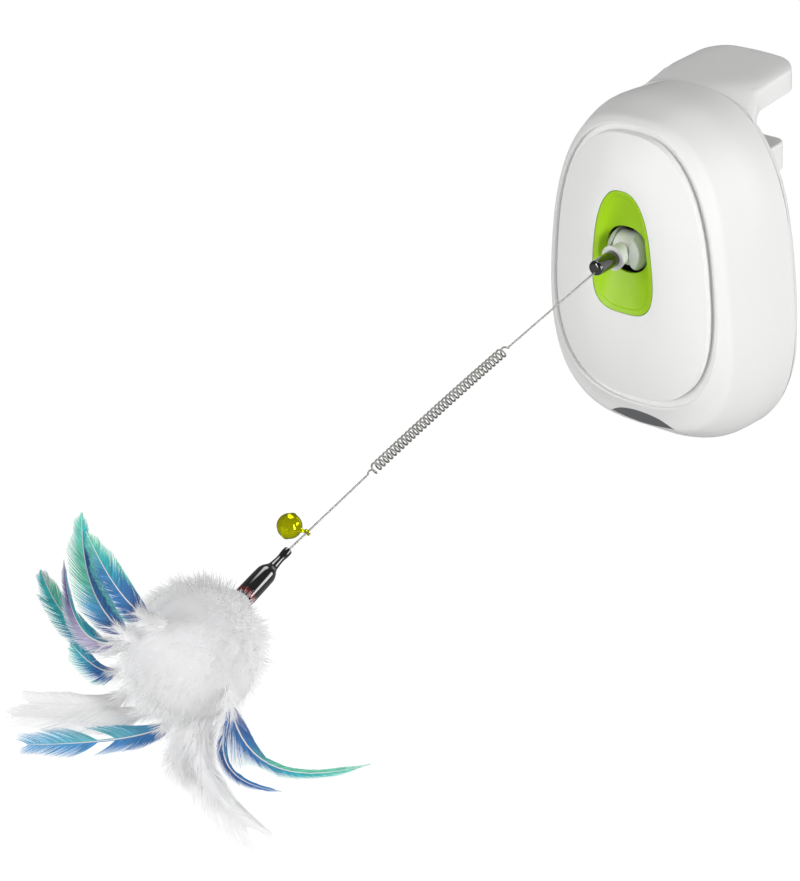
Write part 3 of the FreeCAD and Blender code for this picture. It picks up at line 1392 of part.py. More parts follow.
def arm_hub():
    reach = X_AXIS * HUB_HALF_WIDTH
    drum = rod(HUB_RADIUS, BALL - reach, BALL + reach)
    flare_start = BALL - Y_AXIS * ARM_STRAIGHT
    ring = BALL - Y_AXIS * ARM_LENGTH
    tube = rod(ARM_RADIUS, BALL, flare_start)
    flare = Part.makeCone(ARM_RADIUS, SOCKET_RADIUS, ARM_LENGTH - ARM_STRAIGHT, flare_start, -Y_AXIS)
    hub = drum.fuse([tube, flare]).removeSplitter()
    half_angle = math.radians(TILT_LIMIT + SECTOR_HALF_ANGLE_MARGIN)
    sector = sector_body(GEAR_MODULE, TILT_SECTOR_TEETH, half_angle, 2 * TILT_SECTOR_HALF_THICKNESS)
    sector = moved(turned_to_x(sector), BALL - X_AXIS * TILT_SECTOR_HALF_THICKNESS)
    hub = hub.fuse(sector)
    hub = hub.cut(rod(TILT_PIN_RADIUS + RUNNING_CLEARANCE, BALL - reach, BALL + reach))
    hub = hub.cut(rod(SOCKET_BORE_RADIUS, ring, ring + Y_AXIS * SOCKET_BORE_DEPTH))
    export("arm_hub", hub)


def bushes():
    pair = []
    for low in (FRAME_TOP_Z, FRAME_BOTTOM_Z - FRAME_PLATE):
        start = Vector(0, BALL_Y, low)
        end = start + Z_AXIS * FRAME_PLATE
        outer = rod(PIN_RADIUS + RUNNING_CLEARANCE + BUSH_WALL, start, end)
        pair.append(outer.cut(rod(PIN_RADIUS + RUNNING_CLEARANCE, start, end)))
    export("pan_bushes", Part.makeCompound(pair))


def mechanism_frame():
    back_front_y = BALL_Y + FRAME_REACH - FRAME_PLATE
    back_y = BALL_Y + FRAME_REACH
    top_high = FRAME_TOP_Z + FRAME_PLATE
    bottom_low = FRAME_BOTTOM_Z - FRAME_PLATE
    pieces = [block(-FRAME_HALF_WIDTH, FRAME_HALF_WIDTH, back_front_y, back_y, bottom_low, top_high)]
    for low, high in ((FRAME_TOP_Z, top_high), (bottom_low, FRAME_BOTTOM_Z)):
        pieces.append(
            block(-FRAME_HALF_WIDTH, FRAME_HALF_WIDTH, BALL_Y + FRAME_NOSE_SETBACK, back_y, low, high)
        )
        pieces.append(
            block(-FRAME_NOSE_RADIUS, FRAME_NOSE_RADIUS, BALL_Y, BALL_Y + FRAME_NOSE_SETBACK, low, high)
        )
        pieces.append(rod(FRAME_NOSE_RADIUS, Vector(0, BALL_Y, low), Vector(0, BALL_Y, high)))
    for side in (-1, 1):
        inner = side * (FRAME_HALF_WIDTH - EAR_OVERLAP)
        outer = side * EAR_REACH
        foot_back_y = EAR_FRONT_Y + EAR_FOOT
        pieces.append(block(inner, outer, EAR_FRONT_Y, foot_back_y, FRAME_TOP_Z, top_high))
        pieces.append(block(inner, outer, EAR_FRONT_Y, foot_back_y, bottom_low, FRAME_BOTTOM_Z))
        pieces.append(block(inner, outer, EAR_FRONT_Y, EAR_BACK_Y, FRAME_TOP_Z, FRAME_TOP_Z + EAR_HEIGHT))
        pieces.append(
            block(inner, outer, EAR_FRONT_Y, EAR_BACK_Y, FRAME_BOTTOM_Z - EAR_HEIGHT, FRAME_BOTTOM_Z)
        )
    frame = pieces[0].fuse(pieces[1:]).removeSplitter()
    bush_bore = PIN_RADIUS + RUNNING_CLEARANCE + BUSH_WALL
    frame = frame.cut(rod(bush_bore, Vector(0, BALL_Y, bottom_low), Vector(0, BALL_Y, top_high)))
    idler_low = Vector(PAN_IDLER.x, PAN_IDLER.y, bottom_low)
    frame = frame.cut(rod(AXLE_RADIUS, idler_low, idler_low + Z_AXIS * FRAME_PLATE))
    motor_low = Vector(PAN_MOTOR.x, PAN_MOTOR.y, bottom_low)
    frame = frame.cut(rod(MOTOR_BOSS_RADIUS + FIT, motor_low, motor_low + Z_AXIS * FRAME_PLATE))
    for x, z in ear_places():
        start = Vector(x, EAR_FRONT_Y, z)
        end = Vector(x, EAR_BACK_Y, z)
        frame = frame.cut(rod(SMALL_SCREW_RADIUS + BORE_CLEARANCE, start, end))
    export("mechanism_frame", frame)


# Motors: a can with a boss round the shaft in front and a nub behind
def motor(name, radius, length, face_centre, outward):
    can = rod(radius, face_centre, face_centre + outward * length)
    boss = rod(MOTOR_BOSS_RADIUS, face_centre - outward * MOTOR_BOSS_HEIGHT, face_centre)
    nub_start = face_centre + outward * length
    nub = rod(MOTOR_NUB_RADIUS, nub_start, nub_start + outward * MOTOR_NUB_HEIGHT)
    bore_end = face_centre + outward * length / 2
    bore_start = face_centre - outward * MOTOR_BOSS_HEIGHT
    can = can.fuse([boss, nub]).cut(rod(MOTOR_SHAFT_RADIUS + RUNNING_CLEARANCE, bore_start, bore_end))
    export(name, can)


def pan_drive():
    bottom_low = FRAME_BOTTOM_Z - FRAME_PLATE
    motor_face = Vector(PAN_MOTOR.x, PAN_MOTOR.y, bottom_low)
    motor("pan_motor", PAN_MOTOR_RADIUS, PAN_MOTOR_LENGTH, motor_face, -Z_AXIS)
    shaft_end = motor_face - Z_AXIS * (PAN_MOTOR_LENGTH / 2 - FIT)
    pinion_low = Vector(PAN_MOTOR.x, PAN_MOTOR.y, PAN_FINE_BOTTOM)
    pinion_phase = math.pi + math.pi / PAN_PINION_TEETH
    pinion = gear_body(FINE_MODULE, PAN_PINION_TEETH, FINE_GEAR_THICKNESS, pinion_phase)
    pinion = moved(pinion, pinion_low)
    shaft = rod(MOTOR_SHAFT_RADIUS, shaft_end, pinion_low + Z_AXIS * FINE_GEAR_THICKNESS)
    export("pan_pinion", pinion.fuse(shaft))
    large = gear_body(FINE_MODULE, PAN_IDLER_LARGE_TEETH, FINE_GEAR_THICKNESS)
    large = moved(large, Vector(0, PAN_IDLER.y, PAN_FINE_BOTTOM))
    small_height = PAN_GEAR_TOP - PAN_FINE_TOP - FIT
    small_phase = -math.pi / 2 + math.pi / IDLER_SMALL_TEETH
    small = gear_body(GEAR_MODULE, IDLER_SMALL_TEETH, small_height, small_phase)
    small = moved(small, Vector(0, PAN_IDLER.y, PAN_FINE_TOP))
    axle_low = Vector(0, PAN_IDLER.y, bottom_low)
    axle_high = Vector(0, PAN_IDLER.y, PAN_GEAR_TOP - FIT)
    idler = large.fuse(small).cut(rod(AXLE_RADIUS + RUNNING_CLEARANCE, axle_low, axle_high))
    export("pan_idler", idler)
    export("pan_idler_axle", rod(AXLE_RADIUS, axle_low, axle_high))


def tilt_drive():
    motor_face = TILT_MOTOR + X_AXIS * YOKE_OUTER
    motor("tilt_motor", TILT_MOTOR_RADIUS, TILT_MOTOR_LENGTH, motor_face, X_AXIS)
    fine_low = TILT_SECTOR_HALF_THICKNESS + GEAR_STEP
    shaft_end = motor_face + X_AXIS * (TILT_MOTOR_LENGTH / 2 - FIT)
    pinion_phase = math.pi / 2 + math.pi / TILT_PINION_TEETH
    pinion = gear_body(FINE_MODULE, TILT_PINION_TEETH, FINE_GEAR_THICKNESS, pinion_phase)
    pinion = moved(turned_to_x(pinion), TILT_MOTOR + X_AXIS * fine_low)
    shaft = rod(MOTOR_SHAFT_RADIUS, TILT_MOTOR + X_AXIS * fine_low, shaft_end)
    export("tilt_pinion", pinion.fuse(shaft))
    large_phase = math.pi / 2
    large = gear_body(FINE_MODULE, TILT_IDLER_LARGE_TEETH, FINE_GEAR_THICKNESS, large_phase)
    large = moved(turned_to_x(large), TILT_IDLER + X_AXIS * fine_low)
    small_low = -TILT_SECTOR_HALF_THICKNESS
    small_phase = math.pi + math.pi / IDLER_SMALL_TEETH
    small = gear_body(GEAR_MODULE, IDLER_SMALL_TEETH, fine_low - small_low, small_phase)
    small = moved(turned_to_x(small), TILT_IDLER + X_AXIS * small_low)
    reach = X_AXIS * YOKE_OUTER
    bore = rod(AXLE_RADIUS + RUNNING_CLEARANCE, TILT_IDLER - reach, TILT_IDLER + reach)
    export("tilt_idler", large.fuse(small).cut(bore))
    export("tilt_idler_axle", rod(AXLE_RADIUS, TILT_IDLER - reach, TILT_IDLER + reach))


# Wand: each stretch starts where the last one ends, and droops a little more
def droop_direction(degrees):
    angle = math.radians(degrees)
    return Vector(0, -math.cos(angle), -math.sin(angle))


RING = BALL - Y_AXIS * ARM_LENGTH
PLUG_END = RING - Y_AXIS * PLUG_LENGTH
WIRE_START = PLUG_END - Z_AXIS * WIRE_EXIT_DROP
UPPER_DIRECTION = droop_direction(UPPER_WIRE_DROOP)
TIP_DIRECTION = droop_direction(TIP_DROOP)
FERRULE_DIRECTION = droop_direction(FERRULE_DROOP)
COIL_START = WIRE_START + UPPER_DIRECTION * UPPER_WIRE_LENGTH
BEND = math.radians(TIP_DROOP - UPPER_WIRE_DROOP)
BEND_RADIUS = COIL_LENGTH / BEND


def coil_axis(travel):
    angle = math.radians(UPPER_WIRE_DROOP) + travel / BEND_RADIUS
    direction = Vector(0, -math.cos(angle), -math.sin(angle))
    start = math.radians(UPPER_WIRE_DROOP)
    shift_y = -BEND_RADIUS * (math.sin(angle) - math.sin(start))
    shift_z = BEND_RADIUS * (math.cos(angle) - math.cos(start))
    return COIL_START + Vector(0, shift_y, shift_z), direction


COIL_END = coil_axis(COIL_LENGTH)[0]
LOWER_WIRE_END = COIL_END + TIP_DIRECTION * LOWER_WIRE_LENGTH
FERRULE_END = LOWER_WIRE_END + FERRULE_DIRECTION * FERRULE_LENGTH
FLUFF_CENTRE = FERRULE_END + FERRULE_DIRECTION * FLUFF_FROM_FERRULE


def wand_plug():
    stem = rod(SOCKET_BORE_RADIUS, RING + Y_AXIS * (SOCKET_BORE_DEPTH - FIT), RING)
    body = Part.makeCone(PLUG_RADIUS, PLUG_TIP_RADIUS, PLUG_LENGTH, RING, -Y_AXIS)
    tip_edges = []
    for edge in body.Edges:
        if edge.BoundBox.YMax < PLUG_END.y + FIT and edge.BoundBox.ZLength > FIT:
            tip_edges.append(edge)
    body = body.makeFillet(PLUG_ROUNDING, tip_edges)
    plug = body.fuse(stem).cut(rod(WIRE_RADIUS, WIRE_START - UPPER_DIRECTION * WIRE_GRIP, COIL_START))
    export("wand_plug", plug)


def wires():
    export("upper_wire", rod(WIRE_RADIUS, WIRE_START - UPPER_DIRECTION * WIRE_GRIP, COIL_START))
    lower_end = LOWER_WIRE_END
    tail = LOWER_WIRE_END + FERRULE_DIRECTION * FERRULE_WIRE_DEPTH
    straight = rod(WIRE_RADIUS, COIL_END, lower_end)
    inner = rod(WIRE_RADIUS, lower_end, tail)
    knuckle = Part.makeSphere(WIRE_RADIUS, lower_end)
    export("lower_wire", straight.fuse([inner, knuckle]))


# Coil: the wire leaves the axis over one long turn, winds evenly, and returns the same way
def coil_point(turn):
    lead_turns = COIL_LEAD_TURNS
    even_turns = COIL_TURNS - 2 * lead_turns
    straight = 2 * WIRE_RADIUS
    even_pitch = (COIL_LENGTH - 2 * straight - 2 * COIL_LEAD) / even_turns
    if turn < lead_turns:
        share = turn / lead_turns
        travel = straight + COIL_LEAD * turn
    elif turn > COIL_TURNS - lead_turns:
        share = (COIL_TURNS - turn) / lead_turns
        travel = COIL_LENGTH - straight - COIL_LEAD * (COIL_TURNS - turn)
    else:
        share = 1.0
        travel = straight + COIL_LEAD + even_pitch * (turn - lead_turns)
    radius = COIL_RADIUS * share * share * (3 - 2 * share)
    centre, direction = coil_axis(travel)
    below = X_AXIS.cross(direction)
    angle = 2 * math.pi * turn
    return centre + X_AXIS * (radius * math.sin(angle)) + below * (radius * math.cos(angle))


def coil_heading(turn):
    if turn <= 0:
        return Vector(UPPER_DIRECTION)
    if turn >= COIL_TURNS:
        return Vector(TIP_DIRECTION)
    return heading_at(coil_point, turn)


def coil_path():
    edges = [Part.makeLine(COIL_START, coil_point(0.0))]
    steps = COIL_TURNS * COIL_STEPS_PER_TURN
    for step in range(steps):
        turn = step / COIL_STEPS_PER_TURN
        following = (step + 1) / COIL_STEPS_PER_TURN
        edges.extend(
            biarc(coil_point(turn), coil_heading(turn), coil_point(following), coil_heading(following))
        )
    edges.append(Part.makeLine(coil_point(COIL_TURNS), COIL_END))
    return Part.Wire(Part.__sortEdges__(edges))


def least_self_gap():
    samples = COIL_CHECKS_PER_TURN
    points = []
    for step in range(COIL_TURNS * samples + 1):
        points.append(coil_point(step / samples))
    least = COIL_LENGTH
    for index, point in enumerate(points):
        for other in range(index + samples // 2, min(index + 2 * samples, len(points))):
            least = min(least, point.distanceToPoint(points[other]))
    return least - 2 * WIRE_RADIUS


def wand_coil():
    path = coil_path()
    below = X_AXIS.cross(UPPER_DIRECTION)
    corners = []
    for side in range(WIRE_SIDES):
        angle = 2 * math.pi * side / WIRE_SIDES
        offset = X_AXIS * (WIRE_RADIUS * math.cos(angle)) + below * (WIRE_RADIUS * math.sin(angle))
        corners.append(COIL_START + offset)
    profile = Part.makePolygon(corners + [corners[0]])
    shell = Part.BRepOffsetAPI.MakePipeShell(path)
    shell.add(profile)
    shell.build()
    shell.makeSolid()
    coil = shell.shape()
    section = WIRE_SIDES * WIRE_RADIUS**2 * math.sin(2 * math.pi / WIRE_SIDES) / 2
    print("coil volume share", round(coil.Volume / (section * path.Length), 4), coil.isValid())
    print("coil least gap", round(least_self_gap(), 3), "mm")
    export("wand_coil", coil)


# Ferrule: a bottle on its side, neck towards the wire, its skirt open towards the feathers
def ferrule():
    direction = FERRULE_DIRECTION
    shoulder = LOWER_WIRE_END + direction * FERRULE_NECK_LENGTH
    body_start = shoulder + direction * FERRULE_SHOULDER_LENGTH
    neck = rod(FERRULE_NECK_RADIUS, LOWER_WIRE_END, shoulder)
    cone = Part.makeCone(
        FERRULE_NECK_RADIUS, FERRULE_RADIUS, FERRULE_SHOULDER_LENGTH, shoulder, direction
    )
    body = rod(FERRULE_RADIUS, body_start, FERRULE_END)
    shape = neck.fuse([cone, body])
    bore = rod(FERRULE_RADIUS - FERRULE_WALL, FERRULE_END - direction * FERRULE_BORE_DEPTH, FERRULE_END)
    wire_hole = rod(WIRE_RADIUS, LOWER_WIRE_END - direction, LOWER_WIRE_END + direction * FERRULE_WIRE_DEPTH)
    knuckle = Part.makeSphere(WIRE_RADIUS, LOWER_WIRE_END)
    approach = rod(WIRE_RADIUS, LOWER_WIRE_END - TIP_DIRECTION, LOWER_WIRE_END)
    export("ferrule", shape.cut(bore).cut(wire_hole).cut(knuckle).cut(approach))


# Bell: a slotted shell with a band round its middle, on a small closed loop round the lower wire
def turned_ball(radius, centre):
    corners = []
    for step in range(BALL_FACETS + 1):
        angle = math.pi * step / BALL_FACETS
        corners.append(Vector(radius * math.sin(angle), 0, radius * math.cos(angle)))
    face = Part.Face(Part.makePolygon(corners + [corners[0]]))
    return moved(face.revolve(Vector(0, 0, 0), Z_AXIS, 360), centre)


def bell():
    loop_centre = LOWER_WIRE_END - TIP_DIRECTION * BELL_FROM_FERRULE
    centre = loop_centre - X_AXIS * BELL_OFFSET
    loop = Part.makeTorus(BELL_LOOP_RADIUS, BELL_LOOP_WIRE, loop_centre, TIP_DIRECTION)
    half_band = X_AXIS * BELL_RIM_HEIGHT / 2
    shell = Part.makeSphere(BELL_RADIUS, centre, X_AXIS)
    shell = shell.fuse(rod(BELL_RADIUS + BELL_RIM, centre - half_band, centre + half_band))
    shell = shell.cut(turned_ball(BELL_RADIUS - BELL_WALL, centre))
    slot = Part.makeBox(BELL_RADIUS, 2 * BELL_RADIUS, BELL_SLOT)
    slot.translate(Vector(-BELL_RADIUS, -BELL_RADIUS, -BELL_SLOT / 2))
    slot.rotate(Vector(0, 0, 0), X_AXIS, TIP_DROOP)
    shell = shell.cut(moved(slot, centre - half_band))
    for side in (-1, 1):
        hole = centre - half_band + droop_direction(TIP_DROOP) * side * BELL_HOLE_OFFSET
        shell = shell.cut(rod(BELL_HOLE_RADIUS, hole - X_AXIS * BELL_RADIUS, hole))
    neck_start = loop_centre - X_AXIS * BELL_LOOP_RADIUS
    neck = rod(BELL_LOOP_WIRE, neck_start, centre + X_AXIS * (BELL_RADIUS - BELL_WALL / 2))
    bore = rod(BELL_LOOP_RADIUS, loop_centre - TIP_DIRECTION, loop_centre + TIP_DIRECTION)
    export("bell", shell.fuse(neck.cut(bore)).fuse(loop))
    pellet_drop = BELL_RADIUS - BELL_WALL - PELLET_RADIUS - 2 * FIT
    export("bell_pellet", turned_ball(PELLET_RADIUS, centre - Z_AXIS * pellet_drop))


# Fluff and feathers: quills fan out of the binding in a ring, and each bends to its own tip
FERRULE_UP = FERRULE_DIRECTION.cross(X_AXIS)
BINDING_FACE = FERRULE_END + FERRULE_DIRECTION * BINDING_PROUD


def from_axis(spread, clock):
    angle = math.radians(clock)
    side = X_AXIS * math.sin(angle) + FERRULE_UP * math.cos(angle)
    lean = math.radians(spread)
    return FERRULE_DIRECTION * math.cos(lean) + side * math.sin(lean), side


def quill_line(order, lean):
    heading, side = from_axis(lean, QUILL_FIRST_CLOCK - QUILL_CLOCK_STEP * order)
    root = BINDING_FACE + side * QUILL_RING_RADIUS
    inward = FLUFF_CENTRE - root
    along = heading.dot(inward)
    leaves = along + math.sqrt(along**2 - inward.dot(inward) + FLUFF_RADIUS**2)
    return root, heading, root + heading * (leaves + QUILL_PROUD)


# A twisted blade as flat triangles between its four-cornered sections
def folded_skin(sections):
    faces = [flat_face(sections[0]), flat_face(sections[-1])]
    for near, far in zip(sections, sections[1:]):
        for corner in range(len(near)):
            after = (corner + 1) % len(near)
            faces.append(flat_face([near[corner], near[after], far[after]]))
            faces.append(flat_face([near[corner], far[after], far[corner]]))
    return Part.makeSolid(Part.makeShell(faces))


def flat_face(corners):
    return Part.Face(Part.makePolygon(corners + [corners[0]]))


QUILL_LINES = []


def feather(name, tip_spread, tip_clock, reach, width, bend, lean=QUILL_LEAN):
    root, heading, leaving = quill_line(len(QUILL_LINES), lean)
    QUILL_LINES.append((root, leaving))
    quill = rod(QUILL_RADIUS, root - heading * BINDING_PROUD, leaving).cut(binding())
    control = leaving + heading * bend
    tip = FERRULE_END + from_axis(tip_spread, tip_clock)[0] * reach
    flat = heading.cross(tip - leaving)
    flat.normalize()
    sections = []
    for station in range(FEATHER_STATIONS + 1):
        share = station / FEATHER_STATIONS
        place = leaving * (1 - share) ** 2 + control * (2 * share * (1 - share)) + tip * share**2
        along = (control - leaving) * (1 - share) + (tip - control) * share
        along.normalize()
        outward = flat.cross(along)
        turn = math.radians(FEATHER_TURN)
        broad = flat * math.cos(turn) + outward * math.sin(turn)
        thin = along.cross(broad)
        fullness = math.sin(math.pi * share**FEATHER_FULLEST)
        half_width = QUILL_RADIUS + (width / 2 - QUILL_RADIUS) * fullness
        sections.append(
            [
                place + broad * half_width,
                place + thin * QUILL_RADIUS,
                place - broad * half_width,
                place - thin * QUILL_RADIUS,
            ]
        )
    export(name, quill.fuse(folded_skin(sections)))


def binding():
    start = FERRULE_END - FERRULE_DIRECTION * FERRULE_BORE_DEPTH
    return rod(FERRULE_RADIUS - FERRULE_WALL, start, BINDING_FACE)


def feathers():
    feather("feather_crest", CREST_SPREAD, CREST_CLOCK, CREST_REACH, BROAD_FEATHER, CREST_BEND, WIDE_LEAN)
    feather("feather_tall", TALL_SPREAD, TALL_CLOCK, TALL_REACH, BROAD_FEATHER, TALL_BEND)
    feather("feather_purple", PURPLE_SPREAD, PURPLE_CLOCK, PURPLE_REACH, BROAD_FEATHER, PURPLE_BEND)
    feather("feather_aqua", AQUA_SPREAD, AQUA_CLOCK, AQUA_REACH, BROAD_FEATHER, AQUA_BEND)
    feather("feather_short", SHORT_SPREAD, SHORT_CLOCK, SHORT_REACH, MIDDLE_FEATHER, SHORT_BEND)
    feather("feather_white_side", SIDE_SPREAD, SIDE_CLOCK, SIDE_REACH, MIDDLE_FEATHER, SIDE_BEND)
    feather("feather_white_long", LONG_SPREAD, LONG_CLOCK, LONG_REACH, MIDDLE_FEATHER, LONG_BEND)
    feather("feather_blue", BLUE_SPREAD, BLUE_CLOCK, BLUE_REACH, BROAD_FEATHER, BLUE_BEND)
    feather("feather_white_low", LOW_SPREAD, LOW_CLOCK, LOW_REACH, MIDDLE_FEATHER, LOW_BEND)
    feather("feather_white_tail", TAIL_SPREAD, TAIL_CLOCK, TAIL_REACH, BROAD_FEATHER, TAIL_BEND)
    feather(
        "feather_narrow", NARROW_SPREAD, NARROW_CLOCK, NARROW_REACH, NARROW_FEATHER, NARROW_BEND, WIDE_LEAN
    )
    feather("feather_teal", TEAL_SPREAD, TEAL_CLOCK, TEAL_REACH, NARROW_FEATHER, TEAL_BEND, WIDE_LEAN)


def fluff():
    export("quill_binding", binding())
    ball = Part.makeSphere(FLUFF_RADIUS, FLUFF_CENTRE, FERRULE_DIRECTION)
    collar_start = BINDING_FACE + FERRULE_DIRECTION * QUILL_CLEARANCE
    collar_length = FLUFF_CENTRE.distanceToPoint(collar_start) - FLUFF_SHOULDER
    shoulder_radius = math.sqrt(FLUFF_RADIUS**2 - FLUFF_SHOULDER**2)
    collar = Part.makeCone(
        FERRULE_RADIUS, shoulder_radius, collar_length, collar_start, FERRULE_DIRECTION
    )
    tuft = ball.fuse(collar)
    throat_radius = QUILL_RING_RADIUS + QUILL_RADIUS + QUILL_CLEARANCE
    throat_end_radius = throat_radius + THROAT_DEPTH * math.tan(math.radians(WIDE_LEAN))
    throat = Part.makeCone(
        throat_radius, throat_end_radius, THROAT_DEPTH, BINDING_FACE, FERRULE_DIRECTION
    )
    tuft = tuft.cut(throat)
    for root, leaving in QUILL_LINES:
        tuft = tuft.cut(rod(QUILL_RADIUS + QUILL_CLEARANCE, root, leaving))
    export("fluff", tuft)


front_shell()
sensor_window()
front_panel()
funnel()
rear_shell()
battery_door()
screws()
cells()
contacts()
clamp_jaw()
clamp_slide()
clamp_rod()
clamp_spring()
power_switch()
circuit_board()
motion_sensor()
ball_cheeks()
tilt_pin()
pan_yoke()
arm_hub()
bushes()
mechanism_frame()
pan_drive()
tilt_drive()
wand_plug()
wires()
wand_coil()
ferrule()
bell()
feathers()
fluff()
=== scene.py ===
# %% [markdown]
# A clamp-on feather wand for cats, dressed piece by piece.
# The real toy is an egg-shaped battery housing that hooks over a shelf. A ball arm in a green
# funnel swings a springy wire, and the wire carries a small bell and a tuft of down with feathers.
# The solids are already exact and already move, so they come in as a fixed frame, and this lesson
# adds what a solid can't show: smooth mouldings, drawn wire, barbs, down, and a finish on each piece.

# %% Bring in the solids
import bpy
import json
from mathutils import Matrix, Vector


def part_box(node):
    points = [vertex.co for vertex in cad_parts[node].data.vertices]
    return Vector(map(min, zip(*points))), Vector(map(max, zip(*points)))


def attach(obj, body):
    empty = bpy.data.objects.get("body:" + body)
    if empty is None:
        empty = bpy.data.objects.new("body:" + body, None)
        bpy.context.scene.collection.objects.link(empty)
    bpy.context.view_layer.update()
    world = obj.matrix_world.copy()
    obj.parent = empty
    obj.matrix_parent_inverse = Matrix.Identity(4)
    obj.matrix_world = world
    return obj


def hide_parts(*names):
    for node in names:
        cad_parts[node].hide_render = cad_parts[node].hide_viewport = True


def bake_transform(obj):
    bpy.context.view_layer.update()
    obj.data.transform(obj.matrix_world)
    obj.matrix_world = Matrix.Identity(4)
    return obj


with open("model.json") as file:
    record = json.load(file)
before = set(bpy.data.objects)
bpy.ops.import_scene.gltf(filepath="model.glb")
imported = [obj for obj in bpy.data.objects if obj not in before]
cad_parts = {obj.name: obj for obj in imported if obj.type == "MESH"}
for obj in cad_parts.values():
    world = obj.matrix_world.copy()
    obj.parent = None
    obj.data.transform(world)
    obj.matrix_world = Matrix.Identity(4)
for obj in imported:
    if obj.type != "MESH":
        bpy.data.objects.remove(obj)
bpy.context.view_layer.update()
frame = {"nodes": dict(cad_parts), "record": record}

# %% Tools for the whole lesson
import json
import math
import random

import bmesh
import bpy
from mathutils import Matrix, Vector

scene = bpy.context.scene
MM = 0.001


def link_object(name, data):
    made = bpy.data.objects.new(name, data)
    scene.collection.objects.link(made)
    return made


def mesh_of(name, bm):
    mesh = bpy.data.meshes.new(name)
    bm.to_mesh(mesh)
    bm.free()
    return mesh


def smooth_all(mesh):
    mesh.polygons.foreach_set("use_smooth", [True] * len(mesh.polygons))


print("sizes below are in millimetres, and MM turns them into metres")

# %% [markdown]
# Four helpers serve every finish. Colours are picked as the sRGB hex values a paint chart gives,
# and a shader wants linear light, so one function converts them. A pattern's scale is always worked
# out from the real size of its grain: a texture scale counts grains per metre.

# %% Colour, grain and one way to add a node
def linear(hex_colour):
    channels = [int(hex_colour[place:place + 2], 16) / 255 for place in (1, 3, 5)]
    return [c / 12.92 if c <= 0.04045 else ((c + 0.055) / 1.055) ** 2.4 for c in channels] + [1.0]


def grains(size_mm):
    return 1.0 / (size_mm * MM)


def add_node(tree, kind, settings=(), inputs=(), links=()):
    node = tree.nodes.new(kind)
    for name, value in dict(settings).items():
        setattr(node, name, value)
    for name, value in dict(inputs).items():
        node.inputs[name].default_value = value
    for name, socket in dict(links).items():
        tree.links.new(socket, node.inputs[name])
    return node


def new_finish(name, inputs):
    finish = bpy.data.materials.new(name)
    finish.use_nodes = True
    tree = finish.node_tree
    tree.nodes.clear()
    shader = add_node(tree, "ShaderNodeBsdfPrincipled", inputs=inputs)
    add_node(tree, "ShaderNodeOutputMaterial", links={"Surface": shader.outputs["BSDF"]})
    return finish, tree, shader


print("white on the chart is", [round(c, 3) for c in linear("#EDEDEC")[:3]], "in linear light")

# %% [markdown]
# The camera stands where the photographer's did: to the right of the front, a little above, and far
# back with a long lens, so the housing and the feathers keep their true proportions.

# %% Camera
CAMERA_PLACE = Vector((772.0, -1162.7, 551.5)) * MM
camera_data = bpy.data.cameras.new("photo_camera")
camera_data.lens = 142.0
camera_data.sensor_width = 36.0
camera_data.clip_end = 20.0
camera = link_object("photo_camera", camera_data)
scene.camera = camera
turn, rise, roll = (math.radians(angle) for angle in (39.70, 27.22, 2.605))
back = Vector((math.sin(turn) * math.cos(rise), -math.cos(turn) * math.cos(rise), math.sin(rise)))
level_right = Vector((math.cos(turn), math.sin(turn), 0.0))
level_up = back.cross(level_right)
right = level_right * math.cos(roll) - level_up * math.sin(roll)
up = level_right * math.sin(roll) + level_up * math.cos(roll)
camera.matrix_world = Matrix.Translation(CAMERA_PLACE) @ Matrix((right, up, back)).transposed().to_4x4()
print("camera", [round(c, 3) for c in camera.matrix_world.translation], "lens", camera_data.lens)

# %% [markdown]
# The photograph has a plain white ground and soft light from the front and the right: the top of
# the housing is its darkest side. A pale floor well below the toy, a pale world that dims towards the
# top and two tall soft lamps give that. What the camera sees of the floor and the world is lifted to
# white. Shiny pieces mirror a dim room with two round windows, which draw the streaks on black vinyl.

# %% Floor, world and lamps
FLOOR_Z, FLOOR_SIZE, FLOOR_LIFT = -0.60, 12.0, 0.80
SKY_LEVEL, OVERHEAD_LEVEL, DARK_ROOM = 0.62, 0.30, 0.16
LAMP_SIZE, LAMP_AIM = (0.3, 1.7), (0, -0.1, -0.06)
WINDOW_BLUR = 3.0
WHITE = (1, 1, 1, 1)
SOFT_WINDOWS = [((-0.196, 0.485, 0.852), 17.0, 4.0), ((0.80, 0.58, 0.12), 16.0, 6.0)]
floor_bm = bmesh.new()
bmesh.ops.create_grid(floor_bm, x_segments=1, y_segments=1, size=FLOOR_SIZE)
bmesh.ops.translate(floor_bm, verts=floor_bm.verts, vec=(0, 0, FLOOR_Z))
floor_mesh = mesh_of("studio_floor", floor_bm)
floor = link_object("studio_floor", floor_mesh)


def seen_directly(tree):
    """1 for rays from the camera, also through clear pieces, and 0 for all others."""
    rays = add_node(tree, "ShaderNodeLightPath")
    return add_node(tree, "ShaderNodeMath", {"operation": "MAXIMUM"}, links={
        0: rays.outputs["Is Camera Ray"], 1: rays.outputs["Is Transmission Ray"]}).outputs[0]



paper = bpy.data.materials.new("white_studio_paper")
paper.use_nodes = True
tree = paper.node_tree
tree.nodes.clear()
matt = add_node(tree, "ShaderNodeBsdfDiffuse", inputs={"Color": linear("#B4B4B4")})
lift = add_node(tree, "ShaderNodeEmission", inputs={"Color": WHITE, "Strength": FLOOR_LIFT})
lifted = add_node(tree, "ShaderNodeAddShader")
tree.links.new(matt.outputs[0], lifted.inputs[0])
tree.links.new(lift.outputs[0], lifted.inputs[1])
shown = add_node(tree, "ShaderNodeMixShader", links={"Fac": seen_directly(tree)})
tree.links.new(matt.outputs[0], shown.inputs[1])
tree.links.new(lifted.outputs[0], shown.inputs[2])
add_node(tree, "ShaderNodeOutputMaterial", links={"Surface": shown.outputs[0]})
floor_mesh.materials.append(paper)

